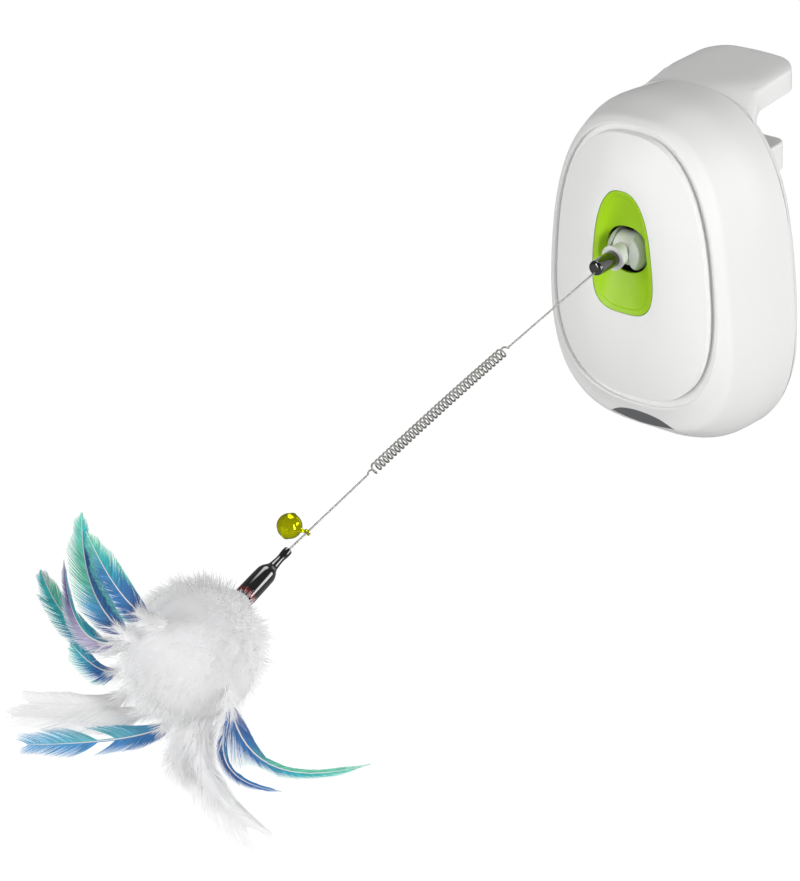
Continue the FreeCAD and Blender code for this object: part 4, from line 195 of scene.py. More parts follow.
world = bpy.data.worlds.new("pale_studio")
scene.world = world
world.use_nodes = True
tree = world.node_tree
tree.nodes.clear()
way = add_node(tree, "ShaderNodeTexCoord").outputs["Generated"]
glow = add_node(tree, "ShaderNodeValue").outputs[0]
glow.default_value = DARK_ROOM
for towards, half_angle, window_level in SOFT_WINDOWS:
    facing = add_node(tree, "ShaderNodeVectorMath", {"operation": "DOT_PRODUCT"},
                      {1: Vector(towards).normalized()}, {0: way})
    outer, inner = (math.cos(math.radians(half_angle + blur)) for blur in (WINDOW_BLUR, -WINDOW_BLUR))
    pane = add_node(tree, "ShaderNodeMapRange", {"interpolation_type": "SMOOTHSTEP"},
                    {"From Min": outer, "From Max": inner, "To Max": window_level},
                    {"Value": facing.outputs["Value"]})
    lighter = add_node(tree, "ShaderNodeMath", {"operation": "ADD"}, links={0: glow, 1: pane.outputs["Result"]})
    glow = lighter.outputs[0]
height = add_node(tree, "ShaderNodeSeparateXYZ", links={"Vector": way}).outputs["Z"]
overhead = add_node(tree, "ShaderNodeMapRange", inputs={"To Min": SKY_LEVEL, "To Max": OVERHEAD_LEVEL},
                    links={"Value": height})
sky = add_node(tree, "ShaderNodeBackground", inputs={"Color": WHITE},
               links={"Strength": overhead.outputs["Result"]})
studio = add_node(tree, "ShaderNodeBackground", inputs={"Color": WHITE}, links={"Strength": glow})
white = add_node(tree, "ShaderNodeBackground", inputs={"Color": WHITE, "Strength": 1.0})
in_mirrors = add_node(tree, "ShaderNodeLightPath").outputs["Is Glossy Ray"]
mirrored = add_node(tree, "ShaderNodeMixShader", links={"Fac": in_mirrors})
tree.links.new(sky.outputs[0], mirrored.inputs[1])
tree.links.new(studio.outputs[0], mirrored.inputs[2])
shown = add_node(tree, "ShaderNodeMixShader", links={"Fac": seen_directly(tree)})
tree.links.new(mirrored.outputs[0], shown.inputs[1])
tree.links.new(white.outputs[0], shown.inputs[2])
add_node(tree, "ShaderNodeOutputWorld", links={"Surface": shown.outputs[0]})


def soft_lamp(name, place, watts):
    lamp_data = bpy.data.lights.new(name, "AREA")
    lamp_data.shape = "RECTANGLE"
    lamp_data.size, lamp_data.size_y = LAMP_SIZE
    lamp_data.energy = watts
    lamp = link_object(name, lamp_data)
    lamp.location = place
    lamp.rotation_mode = "QUATERNION"
    lamp.rotation_quaternion = (Vector(place) - Vector(LAMP_AIM)).to_track_quat("Z", "Y")


soft_lamp("front_lamp", (-0.7, -2.2, 0.20), 24.0)
soft_lamp("right_lamp", (2.2, -0.45, 0.20), 32.0)
scene.view_settings.view_transform = "Standard"
print("floor at", FLOOR_Z, "m, two soft lamps")

# %% [markdown]
# Moulded plastic is the finish of the housing, the arm, the gears and the switch: ABS or nylon out
# of a polished tool. The eye reads it from a clear, slightly soft reflection, a faint ripple like
# orange peel where the melt cooled, and a hint of tone that drifts across the moulding. One function
# makes all of them, because only colour, gloss and ripple differ.

# %% Moulded plastic
finishes = {}


def moulded(name, colour, roughness, ripple_mm, ripple, drift=0.03, ior=1.5):
    finish, tree, shader = new_finish(name, {"Roughness": roughness, "IOR": ior})
    place = add_node(tree, "ShaderNodeTexCoord").outputs["Object"]
    cloud = add_node(tree, "ShaderNodeTexNoise", inputs={"Scale": grains(38.0), "Detail": 2.0},
                     links={"Vector": place})
    tone = [channel * (1.0 - drift) for channel in linear(colour)[:3]] + [1.0]
    mixed = add_node(tree, "ShaderNodeMix", {"data_type": "RGBA"}, links={"Factor": cloud.outputs["Fac"]})
    mixed.inputs["A"].default_value = linear(colour)
    mixed.inputs["B"].default_value = tone
    tree.links.new(mixed.outputs["Result"], shader.inputs["Base Color"])
    peel = add_node(tree, "ShaderNodeTexNoise", inputs={"Scale": grains(ripple_mm), "Detail": 3.0},
                    links={"Vector": place})
    bump = add_node(tree, "ShaderNodeBump", inputs={"Strength": ripple, "Distance": 0.02 * MM},
                    links={"Height": peel.outputs["Fac"]})
    tree.links.new(bump.outputs["Normal"], shader.inputs["Normal"])
    polish = add_node(tree, "ShaderNodeMapRange", links={"Value": cloud.outputs["Fac"]})
    polish.inputs["To Min"].default_value = roughness * 0.85
    polish.inputs["To Max"].default_value = roughness * 1.2
    tree.links.new(polish.outputs["Result"], shader.inputs["Roughness"])
    finishes[name] = finish
    return finish, tree, shader


moulded("white_shell", "#F0F0EF", 0.50, 1.6, 0.10, 0.02)
moulded("white_arm", "#E4E6E2", 0.26, 1.2, 0.15)
moulded("pale_grey_ball", "#C2C6BF", 0.30, 1.0, 0.2)
moulded("green_funnel", "#A3D400", 0.42, 1.4, 0.25, 0.06)
moulded("grey_frame", "#4C4F52", 0.45, 0.9, 0.5)
moulded("nylon_gear", "#E2E0D2", 0.42, 0.8, 0.4)
moulded("switch_black", "#1B1B1C", 0.40, 0.7, 0.5)
moulded("chip_black", "#161617", 0.55, 0.3, 0.8)
moulded("capacitor_sleeve", "#15172C", 0.25, 1.0, 0.2)
moulded("connector_white", "#E4E1D4", 0.40, 0.8, 0.4)
print("moulded finishes:", len(finishes))

# %% [markdown]
# The smoked window is acrylic, dark enough to hide the movement sensor. It is a smooth, deep grey
# with a sharp reflection. The plug and the ferrule are soft black vinyl that was dipped and shrunk on:
# glossy, with broad long highlights, and a dark red that shows where the wall is thin at its mouth.

# %% Smoked window and black vinyl
moulded("smoked_window", "#656669", 0.16, 3.0, 0.08, 0.1)
_, tree, shader = moulded("black_plug", "#030303", 0.07, 4.0, 0.05, 0.3, 1.53)
_, ferrule_tree, ferrule_shader = moulded("black_ferrule", "#030202", 0.07, 4.0, 0.05, 0.3, 1.53)
for vinyl in (shader, ferrule_shader):
    vinyl.inputs["Coat Weight"].default_value = 1.0
    vinyl.inputs["Coat Roughness"].default_value = 0.04
    vinyl.inputs["Coat IOR"].default_value = 1.7
print("window, plug and ferrule finishes ready")

# %% [markdown]
# The metals are drawn spring wire, turned pins and plated cans. Steel that was pulled through a die or
# turned has fine marks, too fine to show, so they are drawn a quarter of a millimetre apart or more,
# and its roughness follows them. The bell has a yellow lacquer over brass, so it isn't all metal.

# %% Drawn and plated metals
LACQUER_METAL, TARNISH = 0.7, 0.82
def metal(name, colour, roughness, line_mm, rim="#FFFFFF"):
    finish, tree, shader = new_finish(name, {
        "Base Color": linear(colour), "Metallic": 1.0, "Roughness": roughness, "Specular Tint": linear(rim)})
    place = add_node(tree, "ShaderNodeTexCoord").outputs["Object"]
    lines = add_node(tree, "ShaderNodeTexNoise", inputs={"Scale": grains(line_mm), "Detail": 2.0},
                     links={"Vector": place})
    polish = add_node(tree, "ShaderNodeMapRange", links={"Value": lines.outputs["Fac"]})
    polish.inputs["To Min"].default_value = roughness * 0.7
    polish.inputs["To Max"].default_value = roughness * 1.4
    tree.links.new(polish.outputs["Result"], shader.inputs["Roughness"])
    tarnish = add_node(tree, "ShaderNodeMix", {"data_type": "RGBA"}, links={"Factor": lines.outputs["Fac"]})
    tarnish.inputs["A"].default_value = linear(colour)
    tarnish.inputs["B"].default_value = [channel * TARNISH for channel in linear(colour)[:3]] + [1.0]
    tree.links.new(tarnish.outputs["Result"], shader.inputs["Base Color"])
    finishes[name] = finish


metal("bright_wire", "#BDBCB9", 0.60, 0.9)
metal("steel_pin", "#C9C9C9", 0.22, 0.25)
metal("motor_can", "#BDBDBB", 0.30, 0.5)
metal("screw_steel", "#B5B6B8", 0.28, 0.25)
metal("contact_spring", "#D5D4CE", 0.25, 0.25)
metal("sensor_can", "#CFCFCF", 0.25, 0.3)
metal("bearing_brass", "#D8B25A", 0.25, 0.25)
# The bell's dark olive edge tint is painted shade: it darkens the grazing rims as if they mirrored a dark room.
metal("gold_bell", "#DCE010", 0.10, 7.0, "#3A3A00")
lacquer = finishes["gold_bell"].node_tree.nodes["Principled BSDF"]
lacquer.inputs["Metallic"].default_value = LACQUER_METAL
print("finishes so far:", len(finishes))

# %% [markdown]
# Inside the housing sit a wrapped cell pack and a circuit board. They show only when the door is
# open, so their finishes stay simple but real: a dark wrap with a gold band at the plus end, and a
# solder mask whose copper tracks print through as paler lines.

# %% Cell wrap, circuit board and thread
_, tree, shader = moulded("board_green", "#1F6B35", 0.35, 0.6, 0.3)
place = add_node(tree, "ShaderNodeTexCoord").outputs["Object"]
tracks = add_node(tree, "ShaderNodeTexVoronoi", {"feature": "DISTANCE_TO_EDGE"}, {"Scale": grains(4.0)},
                  {"Vector": place})
narrow = add_node(tree, "ShaderNodeMath", {"operation": "LESS_THAN"}, {1: 0.06},
                  {0: tracks.outputs["Distance"]})
board_colour = add_node(tree, "ShaderNodeMix", {"data_type": "RGBA"}, links={"Factor": narrow.outputs[0]})
board_colour.inputs["A"].default_value = linear("#1C6332")
board_colour.inputs["B"].default_value = linear("#3C8A4C")
tree.links.new(board_colour.outputs["Result"], shader.inputs["Base Color"])

_, tree, shader = moulded("cell_wrap", "#1B2340", 0.28, 1.5, 0.2)
height = add_node(tree, "ShaderNodeSeparateXYZ", links={
    "Vector": add_node(tree, "ShaderNodeTexCoord").outputs["Object"]}).outputs["Z"]
CELL_BAND_Z = -0.0905
above = add_node(tree, "ShaderNodeMath", {"operation": "GREATER_THAN"}, {1: CELL_BAND_Z}, {0: height})
wrap_colour = add_node(tree, "ShaderNodeMix", {"data_type": "RGBA"}, links={"Factor": above.outputs[0]})
wrap_colour.inputs["A"].default_value = linear("#1B2340")
wrap_colour.inputs["B"].default_value = linear("#C08A3A")
tree.links.new(wrap_colour.outputs["Result"], shader.inputs["Base Color"])

moulded("binding_thread", "#4A4A4C", 0.8, 0.6, 1.0)
print("finishes so far:", len(finishes))

# %% [markdown]
# Feather vane, the colours of dyed rooster hackle. Each feather piece has a map: across it, 0 and 1
# are the two edges and the middle is the shaft, and along it, 0 is the root and 1 the tip. Colour
# follows that map through three ramps, one for each side of the shaft and one that fades in at the edge.
# Fine streaks run along the barbs, because dye takes unevenly from barb to barb.

# %% A finish for dyed vanes
def ramp_stops(node, stops):
    ramp = node.color_ramp
    while len(ramp.elements) > 1:
        ramp.elements.remove(ramp.elements[-1])
    ramp.elements[0].position = stops[0][0]
    ramp.elements[0].color = linear(stops[0][1])
    for position, colour in stops[1:]:
        ramp.elements.new(position).color = linear(colour)


def let_light_through(tree, shader, colour, share):
    through = add_node(tree, "ShaderNodeBsdfTranslucent", links={"Color": colour})
    both = add_node(tree, "ShaderNodeMixShader", inputs={"Fac": share})
    tree.links.new(shader.outputs["BSDF"], both.inputs[1])
    tree.links.new(through.outputs["BSDF"], both.inputs[2])
    tree.links.new(both.outputs["Shader"], tree.nodes["Material Output"].inputs["Surface"])


def dyed(name, left, right, edge, edge_from, streak=0.40):
    finish, tree, shader = new_finish(name, {"Roughness": 0.55, "Sheen Weight": 0.15})
    spread = add_node(tree, "ShaderNodeUVMap", {"uv_map": "vane"})
    parts = add_node(tree, "ShaderNodeSeparateXYZ", links={"Vector": spread.outputs["UV"]})
    along, across = parts.outputs["X"], parts.outputs["Y"]
    colours = []
    for stops in (left, right, edge):
        ramp = add_node(tree, "ShaderNodeValToRGB", links={"Fac": along})
        ramp_stops(ramp, stops)
        colours.append(ramp.outputs["Color"])
    side = add_node(tree, "ShaderNodeMapRange", {"interpolation_type": "SMOOTHSTEP"},
                    {"From Min": 0.44, "From Max": 0.56}, {"Value": across})
    sides = add_node(tree, "ShaderNodeMix", {"data_type": "RGBA"}, links={"Factor": side.outputs["Result"]})
    tree.links.new(colours[0], sides.inputs["A"])
    tree.links.new(colours[1], sides.inputs["B"])
    centred = add_node(tree, "ShaderNodeMath", {"operation": "SUBTRACT"}, {1: 0.5}, {0: across})
    outness = add_node(tree, "ShaderNodeMath", {"operation": "ABSOLUTE"}, links={0: centred.outputs[0]})
    rim = add_node(tree, "ShaderNodeMapRange", {"interpolation_type": "SMOOTHSTEP"},
                   {"From Min": edge_from / 2, "From Max": 0.52}, {"Value": outness.outputs[0]})
    whole = add_node(tree, "ShaderNodeMix", {"data_type": "RGBA"}, links={"Factor": rim.outputs["Result"]})
    tree.links.new(sides.outputs["Result"], whole.inputs["A"])
    tree.links.new(colours[2], whole.inputs["B"])
    barb = add_node(tree, "ShaderNodeUVMap", {"uv_map": "barb"})
    uneven = add_node(tree, "ShaderNodeTexNoise", inputs={"Scale": 60.0, "Detail": 2.0},
                      links={"Vector": barb.outputs["UV"]})
    depth = add_node(tree, "ShaderNodeMapRange", links={"Value": uneven.outputs["Fac"]})
    depth.inputs["From Min"].default_value = 0.3
    depth.inputs["From Max"].default_value = 0.7
    depth.inputs["To Min"].default_value = 1.0 - streak
    depth.inputs["To Max"].default_value = 1.0 + streak * 0.35
    streaked = add_node(tree, "ShaderNodeVectorMath", {"operation": "SCALE"},
                        links={"Vector": whole.outputs["Result"], "Scale": depth.outputs["Result"]})
    tree.links.new(streaked.outputs["Vector"], shader.inputs["Base Color"])
    let_light_through(tree, shader, streaked.outputs["Vector"], 0.3)
    finishes[name] = finish
    return finish


AQUA, TEAL, SKY, BLUE, NAVY = "#7FE0C6", "#45C6CC", "#63B4DE", "#4A8FD0", "#3560A4"
PLUM, PURPLE, MAUVE, PALE = "#5C5486", "#7C6CA6", "#A79BC4", "#EDEDEF"
dyed("vane_crest", [(0.0, PLUM), (0.3, NAVY), (0.5, BLUE), (0.75, "#4F9AD0"), (0.97, AQUA)],
     [(0.0, PURPLE), (0.3, NAVY), (0.55, BLUE), (0.8, TEAL), (0.95, AQUA)],
     [(0.0, BLUE), (0.5, AQUA), (1.0, AQUA)], 0.55)
dyed("vane_tall", [(0.0, PLUM), (0.2, NAVY), (0.4, SKY), (0.6, AQUA), (1.0, "#6FD9C8")],
     [(0.0, NAVY), (0.4, BLUE), (0.75, NAVY), (0.92, TEAL), (1.0, AQUA)],
     [(0.0, MAUVE), (0.5, AQUA), (1.0, AQUA)], 0.7)
dyed("vane_purple", [(0.0, MAUVE), (0.4, "#C9C1DA"), (0.8, PURPLE), (1.0, MAUVE)],
     [(0.0, BLUE), (0.5, TEAL), (1.0, SKY)], [(0.0, PALE), (0.6, PALE), (1.0, MAUVE)], 0.5)
dyed("vane_aqua", [(0.0, NAVY), (0.3, BLUE), (0.6, TEAL), (1.0, TEAL)],
     [(0.0, BLUE), (0.45, TEAL), (0.8, AQUA), (1.0, PALE)], [(0.0, TEAL), (0.8, AQUA), (1.0, PALE)], 0.75)
dyed("vane_short", [(0.0, BLUE), (0.5, "#3E7FC4"), (1.0, TEAL)],
     [(0.0, MAUVE), (0.5, BLUE), (1.0, TEAL)], [(0.0, TEAL), (1.0, AQUA)], 0.6)
dyed("vane_blue", [(0.0, PURPLE), (0.2, BLUE), (0.6, "#4C93D2"), (1.0, "#5AA6DA")],
     [(0.0, PURPLE), (0.3, SKY), (0.7, "#74C4CC"), (1.0, SKY)], [(0.0, PALE), (0.6, SKY), (1.0, PALE)], 0.8)
dyed("vane_narrow", [(0.0, PURPLE), (0.4, BLUE), (1.0, "#4688C8")],
     [(0.0, NAVY), (0.5, NAVY), (1.0, BLUE)], [(0.0, SKY), (1.0, SKY)], 0.8)
dyed("vane_teal", [(0.0, PURPLE), (0.3, BLUE), (0.55, AQUA), (1.0, AQUA)],
     [(0.0, NAVY), (0.4, BLUE), (0.7, TEAL), (1.0, AQUA)], [(0.0, SKY), (0.6, AQUA), (1.0, AQUA)], 0.7)
white_stops = [(0.0, "#EFEFEF"), (1.0, "#F2F2F2")]
dyed("vane_white", white_stops, white_stops, white_stops, 0.8, 0.08)
print("vane finishes:", sorted(name for name in finishes if name.startswith("vane")))

# %% [markdown]
# Marabou down is white turkey fluff: barbs so fine and soft that light soaks in and comes out again,
# so it has no shine at all. Light crosses hundreds of barbs before it leaves again, more often than a
# render follows it, so a faint even glow, painted light on a piece that is no lamp, stands for that share.
# Quills are solid and faintly glossy.

# %% Down and quills
DOWN_PAINTED_GLOW = 0.16
# The emission here is painted light: the down glows evenly, though it is no lamp.
finish, tree, shader = new_finish("white_down", {
    "Roughness": 1.0, "Emission Color": (1, 1, 1, 1), "Emission Strength": DOWN_PAINTED_GLOW})
place = add_node(tree, "ShaderNodeTexCoord").outputs["Object"]
clumps = add_node(tree, "ShaderNodeTexNoise", inputs={"Scale": grains(9.0), "Detail": 4.0},
                  links={"Vector": place})
down_colour = add_node(tree, "ShaderNodeMix", {"data_type": "RGBA"}, links={"Factor": clumps.outputs["Fac"]})
down_colour.inputs["A"].default_value = linear("#F8F8F8")
down_colour.inputs["B"].default_value = linear("#EFEFF0")
tree.links.new(down_colour.outputs["Result"], shader.inputs["Base Color"])
let_light_through(tree, shader, down_colour.outputs["Result"], 0.5)
finishes["white_down"] = finish
moulded("quill", "#EDE9E4", 0.45, 0.8, 0.3)
print("finishes in all:", len(finishes))

# %% [markdown]
# Every solid carries the name of its finish in the record, so one loop dresses them all. Pieces that
# this lesson models again take the same names later on.

# %% Dress the solids
stand_for = {"blue_feather": "vane_blue", "aqua_feather": "vane_aqua", "purple_feather": "vane_purple",
             "white_feather": "vane_white", "teal_feather": "vane_teal"}
for part in frame["record"]["subparts"]:
    slot_name = part["material_slot"]
    solid = frame["nodes"][part["node"]]
    for held in solid.material_slots:
        held.material = finishes[stand_for.get(slot_name, slot_name)]

# %% [markdown]
# The housing is a moulded egg. Its outline is a squared ellipse that narrows to the top, and it can
# be drawn as a circle whose corners are pushed out to that curve. Building it from a ring that is
# drawn out again and again, each time to the next outline, keeps the quads even and the sides smooth.
# The points are spread by length along the curve, because equal angles would leave the flat sides bare.

# %% Outlines and rings
RING = 112


def egg(half_width, top, bottom, y, inset=0.0, narrowing=0.12, squareness=2.6, low_squareness=None):
    wide, high = half_width - inset, (top - bottom) / 2 - inset
    middle = (top + bottom) / 2
    fine = []
    steps = RING * 12
    for step in range(steps):
        angle = 2 * math.pi * step / steps
        power = 2 / (low_squareness if low_squareness and step > steps / 2 else squareness)
        across = math.copysign(abs(math.cos(angle)) ** power, math.cos(angle))
        rise = math.copysign(abs(math.sin(angle)) ** power, math.sin(angle))
        fine.append(Vector((wide * across * (1 - narrowing * rise), y, middle + high * rise)) * MM)
    lengths = [0.0]
    for here, following in zip(fine, fine[1:] + fine[:1]):
        lengths.append(lengths[-1] + (following - here).length)
    places, at = [], 0
    for number in range(RING):
        target = lengths[-1] * number / RING
        while lengths[at + 1] < target:
            at += 1
        share = (target - lengths[at]) / (lengths[at + 1] - lengths[at])
        places.append(fine[at].lerp(fine[(at + 1) % steps], share))
    return places


def ring_edges(bm, ring):
    return [bm.edges.get(pair) for pair in zip(ring, ring[1:] + ring[:1])]


def first_ring(bm, places):
    ring = bmesh.ops.create_circle(bm, segments=len(places))["verts"]
    for vert, place in zip(ring, places):
        vert.co = place
    return ring


def next_ring(bm, ring, places):
    grown = bmesh.ops.extrude_edge_only(bm, edges=ring_edges(bm, ring))["geom"]
    fresh = {item for item in grown if isinstance(item, bmesh.types.BMVert)}
    following = []
    for vert in ring:
        following.append(next(e.other_vert(vert) for e in vert.link_edges if e.other_vert(vert) in fresh))
    for vert, place in zip(following, places):
        vert.co = place
    return following


def close_up(bm, first, last):
    bmesh.ops.bridge_loops(bm, edges=ring_edges(bm, first) + ring_edges(bm, last))


def make_piece(name, bm, body, finish, replaced=(), sharp=32.0):
    bmesh.ops.recalc_face_normals(bm, faces=bm.faces)
    mesh = mesh_of(name, bm)
    smooth_all(mesh)
    mesh.set_sharp_from_angle(angle=math.radians(sharp))
    piece = link_object(name, mesh)
    mesh.materials.append(finishes[finish])
    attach(piece, body)
    if replaced:
        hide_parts(*replaced)
    print(name, len(mesh.vertices), "points", len(mesh.polygons), "faces")
    return piece


def soften(piece, width_mm, segments=3, angle=30.0):
    bevel = piece.modifiers.new("soft_edges", "BEVEL")
    bevel.width = width_mm * MM
    bevel.segments = segments
    bevel.limit_method = "ANGLE"
    bevel.angle_limit = math.radians(angle)
    bevel.harden_normals = True


def cut_with(piece, cutter):
    cut = piece.modifiers.new("cut", "BOOLEAN")
    cut.operation = "DIFFERENCE"
    cut.solver = "EXACT"
    cut.object = cutter
    bpy.context.view_layer.update()
    carved = bpy.data.meshes.new_from_object(piece.evaluated_get(bpy.context.evaluated_depsgraph_get()))
    piece.modifiers.clear()
    piece.data = carved
    bpy.data.objects.remove(cutter)


SEAM_Y, BACK_Y, RIM_Y = -29.0, -25.5, -74.0
PANEL_EDGE_Y, OPENING_Y, GROOVE_Y, WALL = -76.0, -82.6, -72.4, 2.2
BALL_Z = -46.4
SEAM_EGG, RIM_EGG, PANEL_EGG = (51.0, 11.6, -146.6), (42.0, 8.6, -120.8), (38.0, 4.9, -115.9)
MOUTH_EGG, HOLE_EGG = (14.6, BALL_Z + 27.9, BALL_Z - 27.9), (10.4, BALL_Z + 10.5, BALL_Z - 10.5)
MOUTH_NARROWING, MOUTH_SQUARENESS, MOUTH_LOW_SQUARENESS = 0.18, 2.6, 3.3
print("one outline has", len(egg(*RIM_EGG, RIM_Y)), "points")

# %% [markdown]
# The front shell grows from the seam forward. The solid has five outlines with straight runs between
# them; the real moulding flows, so a curve is passed through the same five outlines and sampled often.
# At the front it turns over the rim, drops into the groove round the panel, and comes back inside.

# %% Front shell
SEAM_GAP = 0.25
SECTIONS = [(0.0, *SEAM_EGG, 0.12, 2.6), (21.5, 49.8, 12.8, -142.4, 0.09, 2.9),
            (38.5, 46.3, 10.9, -133.0, 0.12, 2.8), (42.3, 44.6, 10.3, -125.8, 0.12, 2.6),
            (45.0, *RIM_EGG, 0.12, 2.6)]


def flowing(sections, between):
    knots = [0.0]
    for here, following in zip(sections, sections[1:]):
        knots.append(knots[-1] + math.dist(here, following))
    slopes = []
    for number in range(len(sections)):
        low, high = max(number - 1, 0), min(number + 1, len(sections) - 1)
        slopes.append([(b - a) / (knots[high] - knots[low]) for a, b in zip(sections[low], sections[high])])
    samples = []
    for number in range(len(sections) - 1):
        span = knots[number + 1] - knots[number]
        for step in range(between):
            t = step / between
            weights = (2 * t**3 - 3 * t**2 + 1, t**3 - 2 * t**2 + t, 3 * t**2 - 2 * t**3, t**3 - t**2)
            samples.append([weights[0] * a + weights[1] * span * sa + weights[2] * b + weights[3] * span * sb
                            for a, sa, b, sb in zip(sections[number], slopes[number],
                                                    sections[number + 1], slopes[number + 1])])
    samples.append(list(sections[-1]))
    return samples


skin_profile = flowing(SECTIONS, 7)
bm = bmesh.new()
start = ring = first_ring(bm, egg(*SEAM_EGG, SEAM_Y - SEAM_GAP))
for depth, half_width, top, bottom, narrowing, squareness in skin_profile[1:]:
    ring = next_ring(bm, ring, egg(half_width, top, bottom, SEAM_Y - depth, 0.0, narrowing, squareness))
for inset, y in ((0.5, RIM_Y - 0.25), (1.0, RIM_Y + 0.1), (1.05, GROOVE_Y), (5.2, GROOVE_Y),
                 (5.2, GROOVE_Y + WALL)):
    ring = next_ring(bm, ring, egg(*RIM_EGG, y, inset))
for depth, half_width, top, bottom, narrowing, squareness in (SECTIONS[2], SECTIONS[1]):
    ring = next_ring(bm, ring, egg(half_width, top, bottom, SEAM_Y - depth, WALL, narrowing, squareness))
ring = next_ring(bm, ring, egg(*SEAM_EGG, SEAM_Y - SEAM_GAP, WALL))
close_up(bm, start, ring)
front_shell = make_piece("front_shell_moulding", bm, "housing", "white_shell", ["front_shell"])

# %% [markdown]
# The sensor window is a lens-shaped opening where two arcs meet in points. A circle is pressed into
# that lens and drawn through the wall, and the shell is cut with it.

# %% Cut the window opening
WINDOW_CENTRE = Vector((0.0, -64.0, -132.3)) * MM
WINDOW_TILT = math.radians(48.0)
WINDOW_OUTWARD = Vector((0.0, -math.cos(WINDOW_TILT), -math.sin(WINDOW_TILT)))
WINDOW_UPWARD = Vector((0.0, -math.sin(WINDOW_TILT), math.cos(WINDOW_TILT)))
LENS_HALF_LONG, LENS_HALF_HIGH, LENS_GAP, LENS_REACH, LENS_POINTS = 21.0, 11.0, 0.15, 16.0, 64


def lens_places(depth):
    places = []
    half_long, half_high = LENS_HALF_LONG + LENS_GAP, LENS_HALF_HIGH + LENS_GAP
    radius = (half_long**2 + half_high**2) / (2 * half_high)
    for number in range(LENS_POINTS):
        x = half_long * math.cos(2 * math.pi * number / LENS_POINTS)
        rise = math.sqrt(max(radius**2 - x**2, 0.0)) - (radius - half_high)
        if number > LENS_POINTS / 2:
            rise = -rise
        places.append(WINDOW_CENTRE + Vector((x, 0, 0)) * MM + WINDOW_UPWARD * rise * MM
                      + WINDOW_OUTWARD * depth * MM)
    return places


bm = bmesh.new()
inner = first_ring(bm, lens_places(-LENS_REACH))
outer = next_ring(bm, inner, lens_places(LENS_REACH))
bmesh.ops.contextual_create(bm, geom=inner)
bmesh.ops.contextual_create(bm, geom=outer)
bmesh.ops.recalc_face_normals(bm, faces=bm.faces)
cut_with(front_shell, link_object("lens_block", mesh_of("lens_block", bm)))
front_shell.data.set_sharp_from_angle(angle=math.radians(32.0))
print("shell with its window:", len(front_shell.data.polygons), "faces")

# %% [markdown]
# The hook over the shelf grows out of the crown in one flowing form. Its sections start as the egg's
# own arch at the seam and ease into a flat blade with soft upper edges, and below its root a hollow
# curve leads into the back. The piece lies over the solid's hook like a thin skin.

# %% Hook cover
HOOK_TIP_Y, HOOK_CORNER, HOOK_EDGE, HOOK_WEB, HOOK_UNDERSIDE = 19.2, 11.5, 2.6, 6.2, 0.04
ARCH_HALF_WIDTH, ARCH_TOP, ARCH_FOOT, ARCH_SQUARENESS, ARCH_STEPS = 30.4, 11.6, -0.3, 1.9, 48
BLADE_HALF_WIDTH, BLADE_NARROWING, BLADE_Y = 24.7, 0.05, -17.0


def rounding(radius, reach):
    """How far a round edge has dropped, at a reach past the place where it starts."""
    return radius - math.sqrt(radius**2 - min(max(reach, 0.0), radius) ** 2)


def smooth_share(low, high, value):
    share = min(1.0, max(0.0, (value - low) / (high - low)))
    return share * share * (3 - 2 * share)


def hook_section(y, half_width, top, shoulder, bottom, squareness):
    places = []
    for step in range(ARCH_STEPS + 1):
        angle = math.pi * step / ARCH_STEPS
        across = math.copysign(abs(math.cos(angle)) ** (2 / squareness), math.cos(angle))
        rise = abs(math.sin(angle)) ** (2 / squareness) if 0 < step < ARCH_STEPS else 0.0
        places.append(Vector((half_width * across, y, shoulder + (top - shoulder) * rise)) * MM)
    corners = [(-half_width, shoulder), (-half_width, bottom), (half_width, bottom), (half_width, shoulder)]
    for (x0, z0), (x1, z1), steps in zip(corners, corners[1:], (5, 16, 5)):
        places += [Vector((x0 + (x1 - x0) * step / steps, y, z0 + (z1 - z0) * step / steps)) * MM
                   for step in range(1, steps + 1)]
    return places[:-1]


bm = bmesh.new()
start = ring = None
stations = [SEAM_Y + 0.1 + 1.2 * step for step in range(31)]
stations += [7.9 + 1.1 * step for step in range(8)] + [16.6, 17.4, 18.1, 18.6, 18.95, HOOK_TIP_Y]
for y in stations:
    blade = smooth_share(SEAM_Y, -8.0, y)
    straight = BLADE_HALF_WIDTH - BLADE_NARROWING * (y - BLADE_Y)
    half_width = ARCH_HALF_WIDTH + (straight - ARCH_HALF_WIDTH) * smooth_share(SEAM_Y - 3.0, -14.0, y)
    half_width -= rounding(HOOK_CORNER, y - (HOOK_TIP_Y - HOOK_CORNER))
    top = ARCH_TOP - 0.15 * blade - rounding(HOOK_EDGE, y - (HOOK_TIP_Y - HOOK_EDGE))
    bottom = HOOK_UNDERSIDE - rounding(HOOK_WEB, BACK_Y + HOOK_WEB - y)
    places = hook_section(y, half_width, top, ARCH_FOOT + 6.0 * blade, bottom, ARCH_SQUARENESS + 3.1 * blade)
    ring = first_ring(bm, places) if start is None else next_ring(bm, ring, places)
    start = start or ring
bmesh.ops.contextual_create(bm, geom=start)
bmesh.ops.contextual_create(bm, geom=ring)
make_piece("hook_cover", bm, "housing", "white_shell", (), 38.0)

# %% [markdown]
# The front panel is a shallow dome. Its outline runs from the panel's edge to the funnel's mouth
# while it swells forward, fast at first and then flat. A small wall drops from its edge to the groove.

# %% Front panel
DOME_STEPS = 14


def panel_outline(share, y, inset=0.0):
    edge, mouth_end = (*PANEL_EGG, 0.12, 2.6, 2.6), (*MOUTH_EGG, MOUTH_NARROWING, MOUTH_SQUARENESS,
                                                     MOUTH_LOW_SQUARENESS)
    half_width, top, bottom, narrowing, squareness, low_squareness = (
        near + (far - near) * share for near, far in zip(edge, mouth_end))
    return egg(half_width, top, bottom, y, inset, narrowing, squareness, low_squareness)


def dome_y(share):
    return PANEL_EDGE_Y + (OPENING_Y - PANEL_EDGE_Y) * (1 - (1 - share) ** 2)


